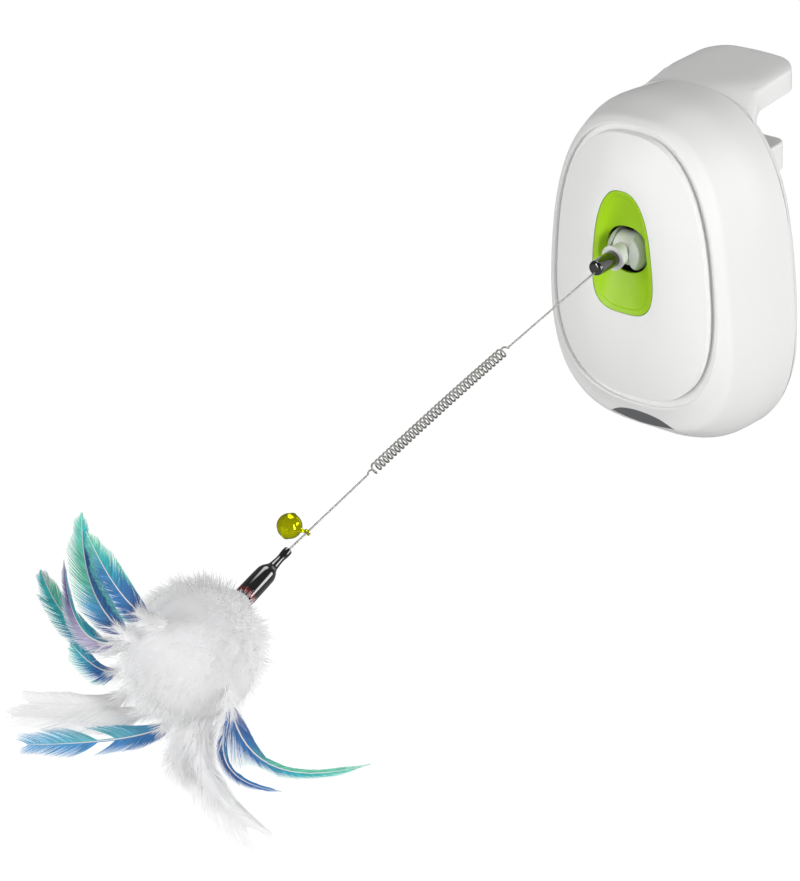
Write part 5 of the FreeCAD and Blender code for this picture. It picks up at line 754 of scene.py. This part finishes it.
bm = bmesh.new()
start = ring = first_ring(bm, panel_outline(0.0, GROOVE_Y))
ring = next_ring(bm, ring, panel_outline(0.0, PANEL_EDGE_Y))
for step in range(1, DOME_STEPS + 1):
    ring = next_ring(bm, ring, panel_outline(step / DOME_STEPS, dome_y(step / DOME_STEPS)))
ring = next_ring(bm, ring, panel_outline(1.0, OPENING_Y + WALL))
for step in (9, 4, 0):
    share = step / DOME_STEPS
    ring = next_ring(bm, ring, panel_outline(share, dome_y(share) + WALL, WALL * (1 - share)))
ring = next_ring(bm, ring, panel_outline(0.0, GROOVE_Y, WALL))
close_up(bm, start, ring)
panel = make_piece("front_panel_dome", bm, "housing", "white_shell", ["front_panel"])
soften(panel, 0.45)

# %% [markdown]
# The funnel is a separate green moulding: a pale lip round its mouth, then walls that run down from
# the squared mouth to the round hole of the ball. Because the two outlines differ, the walls twist a
# little and catch the light in faint rays, as they do on the real one.

# %% Funnel
FUNNEL_DEEP, FUNNEL_BACK, FUNNEL_WALL = 4.3, 5.4, 1.2


def mouth(y, inset=0.0):
    return egg(*MOUTH_EGG, y, inset, MOUTH_NARROWING, MOUTH_SQUARENESS, MOUTH_LOW_SQUARENESS)


def ball_hole(y, inset=0.0):
    return egg(*HOLE_EGG, y, inset, 0.0, 2.2)


bm = bmesh.new()
start = ring = first_ring(bm, mouth(OPENING_Y + 2.3, 0.15))
for y, inset in ((OPENING_Y + 0.3, 0.15), (OPENING_Y, 0.45), (OPENING_Y + 0.5, 2.3), (OPENING_Y + 0.9, 2.6)):
    ring = next_ring(bm, ring, mouth(y, inset))
for share in (0.3, 0.65, 1.0):
    deep = OPENING_Y + 0.9 + (FUNNEL_DEEP - 0.9) * share
    ring = next_ring(bm, ring, [near.lerp(far, share) for near, far in zip(mouth(deep, 2.6), ball_hole(deep))])
ring = next_ring(bm, ring, ball_hole(OPENING_Y + FUNNEL_BACK))
ring = next_ring(bm, ring, ball_hole(OPENING_Y + FUNNEL_BACK, -FUNNEL_WALL))
ring = next_ring(bm, ring, mouth(OPENING_Y + 2.5, 2.7))
close_up(bm, start, ring)
funnel = make_piece("funnel_bowl", bm, "housing", "green_funnel", ["funnel"], 20.0)
soften(funnel, 0.25, 2, 24.0)

# %% [markdown]
# Round pieces such as the plug, the ferrule and the bell's loop are turned: half a profile is drawn
# as a chain of points, and a spin takes it all the way round its axis.

# %% A lathe
def turned(profile, start, direction, steps=48):
    side = direction.orthogonal().normalized()
    bm = bmesh.new()
    verts = [bm.verts.new(start + direction * along * MM + side * radius * MM) for along, radius in profile]
    edges = [bm.edges.new(pair) for pair in zip(verts, verts[1:])]
    bmesh.ops.spin(bm, geom=verts + edges, axis=direction, cent=start, steps=steps, angle=2 * math.pi,
                   use_merge=True, use_duplicate=False)
    bmesh.ops.remove_doubles(bm, verts=bm.verts, dist=0.001 * MM)
    return bm


def rounded(points, radius, steps=4):
    """The corners of a profile, each replaced by a few points on an arc-like curve."""
    smooth = [points[0]]
    for before, corner, after in zip(points, points[1:], points[2:]):
        before, corner, after = Vector(before), Vector(corner), Vector(after)
        reach = min(radius, (before - corner).length * 0.45, (after - corner).length * 0.45)
        enter = corner + (before - corner).normalized() * reach
        leave = corner + (after - corner).normalized() * reach
        for step in range(steps + 1):
            t = step / steps
            smooth.append(tuple(enter * (1 - t) ** 2 + corner * 2 * t * (1 - t) + leave * t**2))
    return smooth + [points[-1]]


BALL = Vector((0.0, -75.7, BALL_Z)) * MM
RING_FACE = BALL + Vector((0, -13.4, 0)) * MM
FORWARD = Vector((0, -1, 0))
plug_profile = rounded([(-5.2, 0.0), (-5.2, 2.5), (0.0, 2.5), (0.0, 3.75), (12.9, 3.3), (12.9, 0.0)], 2.0, 6)
make_piece("wand_plug_vinyl", turned(plug_profile, RING_FACE, FORWARD), "arm", "black_plug",
           ["wand_plug"], 50.0)

# %% [markdown]
# The wand is one length of spring wire: straight, wound into an open coil, and straight again. It
# has to bend when the lure swings, and the hinge of that bend is in the coil's middle. The wire is
# drawn as one piece through the coil, in its rest shape.

# %% Wand wire
def wire_piece(name, route, radius, finish, replaced):
    curve = bpy.data.curves.new(name, "CURVE")
    curve.dimensions = "3D"
    curve.bevel_depth = radius
    curve.bevel_resolution = 2
    curve.use_fill_caps = True
    spline = curve.splines.new("POLY")
    spline.points.add(len(route) - 1)
    for point, place in zip(spline.points, route):
        point.co = (*place, 1.0)
    form = link_object(name + "_form", curve)
    bpy.context.view_layer.update()
    mesh = bpy.data.meshes.new_from_object(form.evaluated_get(bpy.context.evaluated_depsgraph_get()))
    bpy.data.objects.remove(form)
    mesh.name = name
    piece = link_object(name, mesh)
    mesh.materials.clear()
    mesh.materials.append(finishes[finish])
    smooth_all(mesh)
    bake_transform(piece)
    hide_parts(*replaced)
    print(name, len(mesh.polygons), "faces")


def droop(degrees):
    return Vector((0.0, -math.cos(math.radians(degrees)), -math.sin(math.radians(degrees))))


SIDE = Vector((1, 0, 0))
UPPER_DROOP, LOWER_DROOP, LURE_DROOP = 9.7, 12.7, 16.9
UPPER, LOWER, LURE = droop(UPPER_DROOP), droop(LOWER_DROOP), droop(LURE_DROOP)
UPPER_LENGTH, LOWER_LENGTH, TUCKED_IN, WIRE_RADIUS = 59.0, 48.4, 5.0, 0.4
WIRE_START = RING_FACE + Vector((0, -12.8, -1.6)) * MM
COIL_START = WIRE_START + UPPER * UPPER_LENGTH * MM
COIL_LENGTH, COIL_TURNS, COIL_RADIUS, COIL_LEAD, COIL_MARGIN, TURN_STEPS = 96.6, 37, 1.9, 5.0, 0.8, 20
bend_radius = COIL_LENGTH / math.radians(LOWER_DROOP - UPPER_DROOP)


def coil_centre(travel):
    start_angle = math.radians(UPPER_DROOP)
    angle = start_angle + travel / bend_radius
    shift = Vector((0.0, -bend_radius * (math.sin(angle) - math.sin(start_angle)),
                    bend_radius * (math.cos(angle) - math.cos(start_angle))))
    return COIL_START + shift * MM, Vector((0.0, -math.cos(angle), -math.sin(angle)))


def coil_place(turns):
    pitch = (COIL_LENGTH - 2 * COIL_MARGIN - 2 * COIL_LEAD) / (COIL_TURNS - 2)
    if turns < 1:
        share, travel = turns, COIL_MARGIN + COIL_LEAD * turns
    elif turns > COIL_TURNS - 1:
        share, travel = COIL_TURNS - turns, COIL_LENGTH - COIL_MARGIN - COIL_LEAD * (COIL_TURNS - turns)
    else:
        share, travel = 1.0, COIL_MARGIN + COIL_LEAD + pitch * (turns - 1)
    radius = COIL_RADIUS * share * share * (3 - 2 * share) * MM
    centre, direction = coil_centre(travel)
    below = SIDE.cross(direction)
    angle = 2 * math.pi * turns
    return centre + SIDE * radius * math.sin(angle) + below * radius * math.cos(angle)


COIL_END = coil_centre(COIL_LENGTH)[0]
WIRE_END = COIL_END + LOWER * LOWER_LENGTH * MM
route = [WIRE_START - UPPER * TUCKED_IN * MM, WIRE_START, WIRE_START.lerp(COIL_START, 0.5), COIL_START]
route += [coil_place(step / TURN_STEPS) for step in range(COIL_TURNS * TURN_STEPS + 1)]
route += [COIL_END, COIL_END.lerp(WIRE_END, 0.5), WIRE_END, WIRE_END + LURE * TUCKED_IN * MM]
wire_piece("wand_wire", route, WIRE_RADIUS * MM, "bright_wire",
           ["upper_wire", "wand_coil", "lower_wire"])

# %% [markdown]
# Inside the housing a compression spring pushes the clamp jaw up. Its solid is a plain tube that
# shortens, so a coil is drawn in the same room, one end on the jaw's lug and one on the bay's roof.

# %% Clamp spring
SPRING_WIRE, SPRING_TURNS, SPRING_STEPS = 0.4 * MM, 9, 24
spring_low, spring_high = (Vector(corner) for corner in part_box("clamp_spring"))
spring_height = Vector((0, 0, spring_high.z - spring_low.z))
spring_radius = (spring_high.x - spring_low.x) / 2 - SPRING_WIRE
spring_foot = Vector(((spring_low.x + spring_high.x) / 2, (spring_low.y + spring_high.y) / 2, spring_low.z))
spring_route = []
for number in range(SPRING_TURNS * SPRING_STEPS + 1):
    angle = 2 * math.pi * number / SPRING_STEPS
    height = SPRING_WIRE + (spring_height.z - 2 * SPRING_WIRE) * number / (SPRING_TURNS * SPRING_STEPS)
    spring_route.append(spring_foot + Vector((math.cos(angle) * spring_radius, math.sin(angle) * spring_radius,
                                              height)))
wire_piece("clamp_spring_coil", spring_route, SPRING_WIRE, "steel_pin",
           ["clamp_spring"])

# %% [markdown]
# The ferrule is a vinyl end cap shaped like a bottle. It was dipped, so nothing on it is sharp: the
# neck ends in a small bead, the shoulder flows, and its skirt is slightly fuller at the open mouth.

# %% Ferrule
CAP_LENGTH, CAP_DEEP, CAP_RED_FROM, CAP_RED_TO = 27.8, 20.0, 3.0, 0.4
ferrule_profile = rounded([(0.0, 0.42), (0.0, 1.75), (2.2, 1.8), (5.2, 1.45), (8.2, 1.75), (10.2, 2.0),
                           (13.4, 3.9), (18.0, 4.05), (CAP_LENGTH, 4.15), (CAP_LENGTH, 3.45), (CAP_DEEP, 3.4),
                           (CAP_DEEP, 0.0)], 1.6, 5)
make_piece("ferrule_cap", turned(ferrule_profile, WIRE_END, LURE, 56), "lure", "black_ferrule",
           ["ferrule"], 60.0)
LURE_END = WIRE_END + LURE * CAP_LENGTH * MM
ferrule_place = add_node(ferrule_tree, "ShaderNodeTexCoord").outputs["Object"]
down_the_cap = add_node(ferrule_tree, "ShaderNodeVectorMath", {"operation": "DOT_PRODUCT"},
                        {1: tuple(LURE)}, {0: ferrule_place})
mouth_share = add_node(ferrule_tree, "ShaderNodeMapRange", {"interpolation_type": "SMOOTHSTEP"}, {
    "From Min": LURE_END.dot(LURE) - CAP_RED_FROM * MM, "From Max": LURE_END.dot(LURE) - CAP_RED_TO * MM}, {
    "Value": down_the_cap.outputs["Value"]})
vinyl_colour = add_node(ferrule_tree, "ShaderNodeMix", {"data_type": "RGBA"},
                        links={"Factor": mouth_share.outputs["Result"]})
vinyl_colour.inputs["A"].default_value = linear("#060404")
vinyl_colour.inputs["B"].default_value = linear("#7A100C")
ferrule_tree.links.new(vinyl_colour.outputs["Result"], ferrule_shader.inputs["Base Color"])
print("the cap turns dark red over its last", CAP_RED_FROM, "mm")

# %% [markdown]
# The jingle bell is pressed from two brass cups that meet in a rolled seam, then plated. A sphere is
# pinched into that seam, hollowed by a wall, and cut by the sound slot with its two round ends.

# %% Bell
BELL_RADIUS, BELL_SEAM, BELL_WALL, BELL_STEPS = 5.0, 0.35, 0.5, 40
LOOP_RADIUS, LOOP_WIRE, LOOP_STEPS = 1.05, 0.45, 14
SLOT_DEPTH, SLOT_HALF_LONG, SLOT_WIDTH, SLOT_SIDE = 5.0, 3.2, 1.0, Vector((-3.0 * MM, 0, 0))
LOOP_CENTRE = WIRE_END - LOWER * 11.6 * MM
BELL_CENTRE = LOOP_CENTRE - SIDE * 8.85 * MM
bell_profile = []
for step in range(BELL_STEPS + 1):
    angle = math.pi * step / BELL_STEPS
    seam = math.exp(-((math.degrees(angle) - 90) / 5.0) ** 2)
    reach = BELL_RADIUS * math.sin(angle) + BELL_SEAM * seam
    bell_profile.append((-BELL_RADIUS * math.cos(angle), reach if 0 < step < BELL_STEPS else 0.0))
bell = make_piece("jingle_bell", turned(bell_profile, BELL_CENTRE, SIDE, 64), "bell", "gold_bell",
                  ["bell"], 60.0)
wall = bell.modifiers.new("pressed_wall", "SOLIDIFY")
wall.thickness = BELL_WALL * MM
wall.offset = -1.0
bm = bmesh.new()
bmesh.ops.create_cube(bm, size=1.0, matrix=Matrix.Translation(SLOT_SIDE) @ Matrix.Diagonal(
    (SLOT_DEPTH * MM, 2 * SLOT_HALF_LONG * MM, SLOT_WIDTH * MM, 1.0)))
slot_cutter = link_object("sound_slot", mesh_of("sound_slot", bm))
slot_cutter.matrix_world = Matrix.Translation(BELL_CENTRE) @ Matrix.Rotation(math.radians(LOWER_DROOP), 4, "X")
cut_with(bell, slot_cutter)
for side in (-1, 1):
    bm = bmesh.new()
    slot_end = BELL_CENTRE + LOWER * SLOT_HALF_LONG * side * MM + SLOT_SIDE
    bmesh.ops.create_cone(bm, cap_ends=True, segments=24, radius1=1.1 * MM, radius2=1.1 * MM,
                          depth=SLOT_DEPTH * MM,
                          matrix=Matrix.Translation(slot_end) @ Matrix.Rotation(math.pi / 2, 4, "Y"))
    cut_with(bell, link_object("slot_end", mesh_of("slot_end", bm)))
bell.data.set_sharp_from_angle(angle=math.radians(45.0))
loop_profile = []
for step in range(LOOP_STEPS + 1):
    angle = 2 * math.pi * step / LOOP_STEPS
    loop_profile.append((LOOP_WIRE * math.sin(angle), LOOP_RADIUS + LOOP_WIRE * math.cos(angle)))
make_piece("bell_loop", turned(loop_profile, LOOP_CENTRE, LOWER, 40), "bell", "gold_bell")
neck_profile = [(0.0, 0.0), (0.0, 0.62), (0.9, 0.66), (1.8, 0.95), (2.6, 1.45), (3.3, 2.2), (3.3, 0.0)]
make_piece("bell_neck", turned(neck_profile, LOOP_CENTRE - SIDE * LOOP_RADIUS * MM, -SIDE, 24), "bell",
           "gold_bell")
print("bell of", len(bell.data.polygons), "faces")

# %% [markdown]
# Feathers and down are made of barbs: thin strips that leave a shaft or a core and bend as they go.
# A textured card would look flat at the edges, so each barb is real. All strips of one piece start as
# short edges and are drawn out together, one step at a time, which keeps the making quick.

# %% Strips drawn out together
def grow_strips(count, steps, place):
    bm = bmesh.new()
    where = {}
    pairs = []
    for number in range(count):
        pair = [bm.verts.new(place(number, 0, side)) for side in (0, 1)]
        bm.edges.new(pair)
        pairs.append(pair)
        where.update({vert: (number, 0, side) for side, vert in enumerate(pair)})
    for step in range(1, steps + 1):
        open_edges = [bm.edges.get(pair) for pair in pairs]
        grown = bmesh.ops.extrude_edge_only(bm, edges=open_edges)["geom"]
        fresh = {item for item in grown if isinstance(item, bmesh.types.BMVert)}
        pairs = [[next(e.other_vert(vert) for e in vert.link_edges if e.other_vert(vert) in fresh)
                  for vert in pair] for pair in pairs]
        for number, pair in enumerate(pairs):
            for side, vert in enumerate(pair):
                vert.co = place(number, step, side)
                where[vert] = (number, step, side)
    return bm, where


trial, _ = grow_strips(2, 3, lambda number, step, side: Vector((number, step, side)))
print("a trial of 2 strips has", len(trial.faces), "faces")
trial.free()

# %% [markdown]
# A feather starts as a line. It leaves the binding inside the ferrule's mouth, runs through the down
# and bends over to its tip, which is where the solid has it. Steering moves the bend by a few
# millimetres to the right and up as the camera sees it, so the curve is that of the photograph.

# %% Feather lines
FLUFF_RADIUS = 27.5 * MM
FLUFF_CENTRE = LURE_END + LURE * 31.5 * MM
BINDING_FACE, BINDING_RADIUS = LURE_END + LURE * 1.0 * MM, 2.6 * MM
LURE_UP = LURE.cross(SIDE)


def lean_from_axis(spread, clock):
    angle, lean = math.radians(clock), math.radians(spread)
    side = SIDE * math.sin(angle) + LURE_UP * math.cos(angle)
    return LURE * math.cos(lean) + side * math.sin(lean), side


def feather_line(order, lean, spread, clock, reach, bend, steer=(0.0, 0.0), tip_steer=(0.0, 0.0)):
    heading, side = lean_from_axis(lean, 5.0 - 25.0 * order)
    root = BINDING_FACE + side * BINDING_RADIUS
    inward = FLUFF_CENTRE - root
    along = heading.dot(inward)
    leaving = root + heading * (along + math.sqrt(along**2 - inward.dot(inward) + FLUFF_RADIUS**2) + 1.0 * MM)
    control = leaving + heading * bend * MM + (right * steer[0] + up * steer[1]) * MM
    tip = LURE_END + lean_from_axis(spread, clock)[0] * reach * MM
    tip = tip + (right * tip_steer[0] + up * tip_steer[1]) * MM
    return root, heading, leaving, control, tip


def along_line(line, share):
    root, heading, leaving, control, tip = line
    place = leaving * (1 - share) ** 2 + control * 2 * share * (1 - share) + tip * share**2
    way = ((control - leaving) * (1 - share) + (tip - control) * share).normalized()
    return place, way


def eased(pairs, at):
    for (low, start), (high, end) in zip(pairs, pairs[1:]):
        if at <= high:
            share = max(0.0, (at - low) / (high - low))
            return start + (end - start) * share * share * (3 - 2 * share)
    return pairs[-1][1]


print("down centre", [round(c, 4) for c in FLUFF_CENTRE])

# %% [markdown]
# Each barb leaves the shaft at a slant and turns towards the tip. Barbs hook together into a smooth
# vane, but after some play they part in places, so a few splits are opened at random, and the tip is
# frayed. The vane's half width follows a short list of shares along the feather, because a hackle, a
# flat and a plume differ in that outline more than in anything else.

# %% Feather maker
BARB_STEPS, SPLITS, FRAY_FROM, FRAY, SHAFT_STEPS, SHAFT_SIDES = 5, 4, 0.86, 0.22, 16, 6
HACKLE = [(0.0, 0.75), (0.25, 1.0), (0.6, 0.85), (0.85, 0.45), (1.0, 0.06)]
FLAT = [(0.0, 0.55), (0.3, 0.92), (0.7, 1.0), (0.92, 0.72), (1.0, 0.35)]
PLUME = [(0.0, 0.9), (0.4, 1.0), (0.8, 0.75), (1.0, 0.25)]
BLUNT = [(0.0, 1.0), (0.5, 0.95), (0.85, 0.8), (1.0, 0.5)]
RIBBON = [(0.0, 1.0), (0.10, 0.95), (0.36, 0.36), (0.8, 0.24), (1.0, 0.03)]
tufts = []


def feather(name, line, width, outline, finish, slot, cover=6.0, twist=0.0, lopsided=0.0, slant=32.0,
            loose=0.05, fuzz=0.0, spacing=0.42, taper=0.75, gap=(2.0, 2.0), tuft=None, seed=1):
    rng = random.Random(seed)
    root, heading, leaving, control, tip = line
    visible = (control - leaving).length * 0.5 + (tip - control).length * 0.5 + (tip - leaving).length * 0.5
    start = 0.45 * cover * MM / visible
    count = round(visible / (spacing * MM))
    tuft_length, tuft_radius, tuft_count = tuft or (cover, 2.4, round(26 * cover))
    tufts.append((line, tuft_length * MM / visible, tuft_radius, tuft_count))

    def frame_at(share):
        place, way = along_line(line, share)
        across = way.cross(back).normalized()
        turn_by = math.radians(twist * (0.6 + 0.4 * share))
        broad = across * math.cos(turn_by) + way.cross(across) * math.sin(turn_by)
        return place, way, broad, broad.cross(way)

    splits = [(rng.choice((-1, 1)), rng.uniform(0.25, 0.95), rng.uniform(4, 13)) for _ in range(SPLITS)]
    rows = []
    for number in range(count * 2):
        side = 1 if number % 2 else -1
        share = start + (1 - start) * (number // 2 + 0.5) / count
        frayed = loose + fuzz + FRAY * max(0.0, share - FRAY_FROM) / (1 - FRAY_FROM)
        half = width / 2 * eased(outline, share) * (1 + side * lopsided) * (1 + rng.uniform(-1, 1) * frayed)
        angle = slant * (1.1 - 0.25 * share) + rng.uniform(-1, 1) * (1.0 + 16 * fuzz)
        for split_side, split_share, opening in splits:
            if split_side == side and share > split_share:
                angle += opening * math.exp(-(share - split_share) / 0.03)
        if gap[0] < share < gap[1]:
            half *= 0.10
        lift = rng.uniform(-1, 1) * (0.04 + 0.9 * fuzz)
        curl = rng.uniform(-1, 1) * fuzz * 2.5
        rows.append((side, share, half, math.radians(max(10.0, angle)), lift, curl))

    def place_barb(number, step, edge):
        side, share, half, angle, lift, curl = rows[number]
        at, way, broad, thin = frame_at(share)
        t = step / BARB_STEPS
        sideways = half * MM * t * (1.10 - 0.10 * t)
        forward = half * MM / math.tan(angle) * t * (0.75 + 0.40 * t) + curl * t * t * MM
        cup = half * MM * (0.16 * t * t + lift * t)
        width_here = spacing * MM * (1.4 - taper * t**3)
        return at + broad * side * sideways + way * (forward + (edge - 0.5) * width_here) - thin * cup

    bm, where = grow_strips(count * 2, BARB_STEPS, place_barb)
    vane_map = bm.loops.layers.uv.new("vane")
    barb_map = bm.loops.layers.uv.new("barb")
    for face in bm.faces:
        for corner in face.loops:
            number, step, edge = where[corner.vert]
            side, share, half, angle = rows[number][:4]
            t = step / BARB_STEPS
            reached = share + half * MM / math.tan(angle) * t / visible
            corner[vane_map].uv = (min(max(reached, 0.0), 1.0), 0.5 + side * 0.5 * t)
            corner[barb_map].uv = (share + 0.37 * side, t * 0.02)
    vane_faces = set(bm.faces)
    stops = [(root, heading, 0.55), (leaving - heading * 8.0 * MM, heading, 0.5)]
    stops += [(*along_line(line, step / SHAFT_STEPS), 0.36 - 0.28 * step / SHAFT_STEPS)
              for step in range(SHAFT_STEPS + 1)]
    ring = None
    for place, way, radius in stops:
        broad = way.cross(back).normalized()
        thin = broad.cross(way)
        places = [place + (broad * math.cos(a) + thin * math.sin(a)) * radius * MM
                  for a in (2 * math.pi * corner / SHAFT_SIDES for corner in range(SHAFT_SIDES))]
        ring = first_ring(bm, places) if ring is None else next_ring(bm, ring, places)
    for face in bm.faces:
        if face not in vane_faces:
            face.material_index = 1
    mesh = mesh_of(name, bm)
    smooth_all(mesh)
    piece = link_object(name, mesh)
    mesh.materials.append(finishes[finish])
    mesh.materials.append(finishes["quill"])
    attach(piece, "lure")
    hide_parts(name.replace("plume_", "feather_"))
    print(name, len(mesh.polygons), "faces,", round(visible / MM), "mm clear of the down")


print("outlines:", len(HACKLE), len(FLAT), len(PLUME), len(BLUNT), len(RIBBON), "stops")

# %% [markdown]
# The coloured feathers fan up and to the left in the photograph, and two curl away to the right. The
# white ones lie between them, with wider, looser barbs.

# %% Twelve feathers
LONG_WHITE = {"cover": 8.0, "slant": 24.0, "loose": 0.05, "fuzz": 0.01, "spacing": 0.27, "taper": 0.3}
LOOSE_WHITE = {"cover": 8.0, "loose": 0.10, "fuzz": 0.02, "taper": 0.3}
feather("plume_crest", feather_line(0, 30.0, 56.0, -1.0, 100.0, 14.0, (-5.0, 6.0)), 12.5, HACKLE,
        "vane_crest", "blue_feather", cover=20.0, twist=10.0, lopsided=0.1,
        tuft=(17.0, 3.2, 800), seed=11)
feather("plume_tall", feather_line(1, 22.0, 60.0, -10.0, 92.0, 26.0, (1.0, 20.0)), 12.0, HACKLE,
        "vane_tall", "aqua_feather", cover=9.0, twist=-8.0, lopsided=-0.1, seed=12)
feather("plume_purple", feather_line(2, 22.0, 50.0, -26.0, 80.0, 22.0, (0.0, 3.0)), 9.0, HACKLE,
        "vane_purple", "purple_feather", cover=6.0, twist=66.0, seed=13)
feather("plume_aqua", feather_line(3, 22.0, 50.0, -40.0, 84.0, 26.0, (3.0, 19.0), (2.0, -2.0)), 10.5, HACKLE,
        "vane_aqua", "aqua_feather", cover=6.0, twist=12.0, seed=14)
feather("plume_short", feather_line(4, 22.0, 35.0, -62.0, 76.0, 16.0, (6.0, 5.0), (8.0, -2.0)), 9.5, HACKLE,
        "vane_short", "teal_feather", cover=4.0, twist=15.0, seed=15)
feather("plume_white_side", feather_line(5, 22.0, 26.0, -79.0, 93.0, 12.0, (0.0, 0.0), (4.0, -1.5)), 12.0,
        PLUME, "vane_white", "white_feather", seed=16, **LONG_WHITE)
feather("plume_white_long", feather_line(6, 22.0, 27.0, -88.0, 101.0, 14.0, (0.0, 5.5), (4.0, 0.5)), 11.5,
        PLUME, "vane_white", "white_feather", seed=17, **LONG_WHITE)
feather("plume_blue", feather_line(7, 22.0, 23.0, -101.0, 101.0, 14.0, (0.0, 4.0), (4.0, 0.0)), 11.0, FLAT,
        "vane_blue", "blue_feather", cover=5.0, gap=(0.56, 0.66), lopsided=0.1, seed=18)
feather("plume_white_low", feather_line(8, 22.0, 25.0, 146.0, 75.0, 12.0, (-2.0, 0.0), (2.0, 1.0)), 10.0,
        PLUME, "vane_white", "white_feather", slant=27.0, spacing=0.22, tuft=(20.0, 5.0, 1500), seed=19,
        **LOOSE_WHITE)
feather("plume_white_tail", feather_line(9, 22.0, 43.0, 129.0, 92.0, 18.0, (0.0, 0.0), (-5.0, 1.5)), 14.0,
        BLUNT, "vane_white", "white_feather", slant=26.0, spacing=0.24, tuft=(34.0, 5.5, 2200), seed=20,
        **LOOSE_WHITE)
feather("plume_narrow", feather_line(10, 30.0, 49.0, 126.0, 78.0, 22.0, (-8.0, -7.0)), 4.4, HACKLE,
        "vane_narrow", "blue_feather", cover=8.0, twist=25.0, slant=22.0, seed=21)
feather("plume_teal", feather_line(11, 30.0, 67.0, 103.0, 92.0, 40.0, (10.0, -10.0)), 12.5, RIBBON,
        "vane_teal", "teal_feather", cover=9.0, slant=20.0, loose=0.10, seed=22)

# %% [markdown]
# The down is the largest soft piece: a ball of marabou barbs tied inside the mouth of the ferrule. A
# rounded core fills its heart, and thousands of barbs lie over it, swept back from the ferrule and
# lifting at their ends. More of them clothe the foot of each feather. A barb's normals follow the
# ball and lean to the front, where the lamps are, because light wanders through the whole tuft: so it
# is lit as one soft volume and not as noise.

# %% Down ball
BALL_BARBS, BINDING_BARBS, CAP_CLEAR, WISPS, DOWN_STEPS = 21000, 1500, 0.90, 0.05, 3
CORE_INSET, LUMPS, LUMP_FROM = 3.4, 22, 0.72
LIGHT_LEAN = FORWARD * 0.5 + LURE_UP * 0.15


def down_reach(outward):
    angle = math.degrees(math.acos(max(-1.0, min(1.0, outward.dot(-LURE)))))
    return 27.2 + 2.2 * math.exp(-((angle / 38.0) ** 2))


def down_core():
    bm = bmesh.new()
    bmesh.ops.create_icosphere(bm, subdivisions=5, radius=1.0)
    rng = random.Random(5)
    lumps = [(anywhere(rng).normalized(), rng.uniform(0.01, 0.03)) for _ in range(LUMPS)]
    for vert in bm.verts:
        outward = vert.co.normalized()
        swell = sum(size * max(0.0, outward.dot(way) - LUMP_FROM) / (1 - LUMP_FROM) for way, size in lumps)
        vert.co = FLUFF_CENTRE + outward * (down_reach(outward) - CORE_INSET) * (1 + swell) * MM
    return bm


def anywhere(rng):
    return Vector((rng.gauss(0, 1), rng.gauss(0, 1), rng.gauss(0, 1)))


make_piece("down_core", down_core(), "lure", "white_down", ["fluff", "quill_binding"], 180.0)

rng = random.Random(77)
down_rows = []
while len(down_rows) < BALL_BARBS:
    outward = anywhere(rng).normalized()
    if outward.dot(-LURE) > CAP_CLEAR:
        continue
    sweep = LURE - outward * LURE.dot(outward)
    wisp = rng.random() < WISPS
    heading = outward * rng.uniform(0.12, 0.42) + sweep * 0.8 + anywhere(rng) * (0.3 if wisp else 0.2)
    curl = outward * rng.uniform(-0.3, 0.4) + anywhere(rng) * 0.2
    length = rng.uniform(8.0, 11.0) if wisp else rng.uniform(5.0, 8.5)
    start = FLUFF_CENTRE + outward * (down_reach(outward) - rng.uniform(3.2, 4.6)) * MM
    down_rows.append((start, heading.normalized(), curl, outward, length * MM, rng.uniform(0.34, 0.6) * MM))
for _ in range(BINDING_BARBS):
    round_it = anywhere(rng).cross(LURE).normalized()
    leaning = rng.uniform(22.0, 66.0)
    heading = LURE * math.cos(math.radians(leaning)) + round_it * math.sin(math.radians(leaning))
    start = LURE_END + LURE * 0.4 * MM + round_it * rng.uniform(0.5, 3.0) * MM
    outward = (round_it - LURE * 0.4).normalized()
    curl = LURE * 0.9 + anywhere(rng) * 0.1
    down_rows.append((start, heading, curl, outward, rng.uniform(8.0, 13.0) * MM, 0.5 * MM))
for line, tuft_share, tuft_radius, tuft_count in tufts:
    for _ in range(tuft_count):
        step_on = rng.uniform(-0.15, 1.0)
        place, way = along_line(line, step_on * tuft_share)
        round_it = (anywhere(rng).cross(way)).normalized()
        start = place + round_it * rng.uniform(0.2, tuft_radius * (1.0 - 0.5 * max(0.0, step_on))) * MM
        heading = (way * 0.9 + round_it * rng.uniform(0.1, 0.55) + anywhere(rng) * 0.12).normalized()
        curl = round_it * rng.uniform(-0.3, 0.5) + anywhere(rng) * 0.15
        length, width = rng.uniform(5.0, 9.0) * MM, rng.uniform(0.34, 0.6) * MM
        down_rows.append((start, heading, curl, round_it, length, width))
across_rows = [heading.cross(outward).normalized() for _, heading, _, outward, _, _ in down_rows]


def down_place(number, step, edge):
    start, heading, curl, _, length, width = down_rows[number]
    t = step / DOWN_STEPS
    line = start + heading * length * t + curl * length * 0.25 * t * t
    return line + across_rows[number] * (edge - 0.5) * width * (1 - 0.85 * t)


bm, where = grow_strips(len(down_rows), DOWN_STEPS, down_place)
for face in bm.faces:
    face.normal_update()
    if face.normal.dot(down_rows[where[face.verts[0]][0]][3]) < 0:
        face.normal_flip()
lit_from = [(down_rows[where[vert][0]][3] + LIGHT_LEAN).normalized() for vert in bm.verts]
down_mesh = mesh_of("down_barbs", bm)
smooth_all(down_mesh)
down_mesh.normals_split_custom_set_from_vertices(lit_from)
down = link_object("down_barbs", down_mesh)
down_mesh.materials.append(finishes["white_down"])
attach(down, "lure")
print("down:", len(down_rows), "barbs,", len(down_mesh.polygons), "faces")

# %% [markdown]
# Last, the scene is brought up to date. The dressed toy's box differs from that of the bare solids
# only by thin skins over the mouldings and by the loose ends of feather barbs.

# %% Bring the scene up to date
bpy.context.view_layer.update()
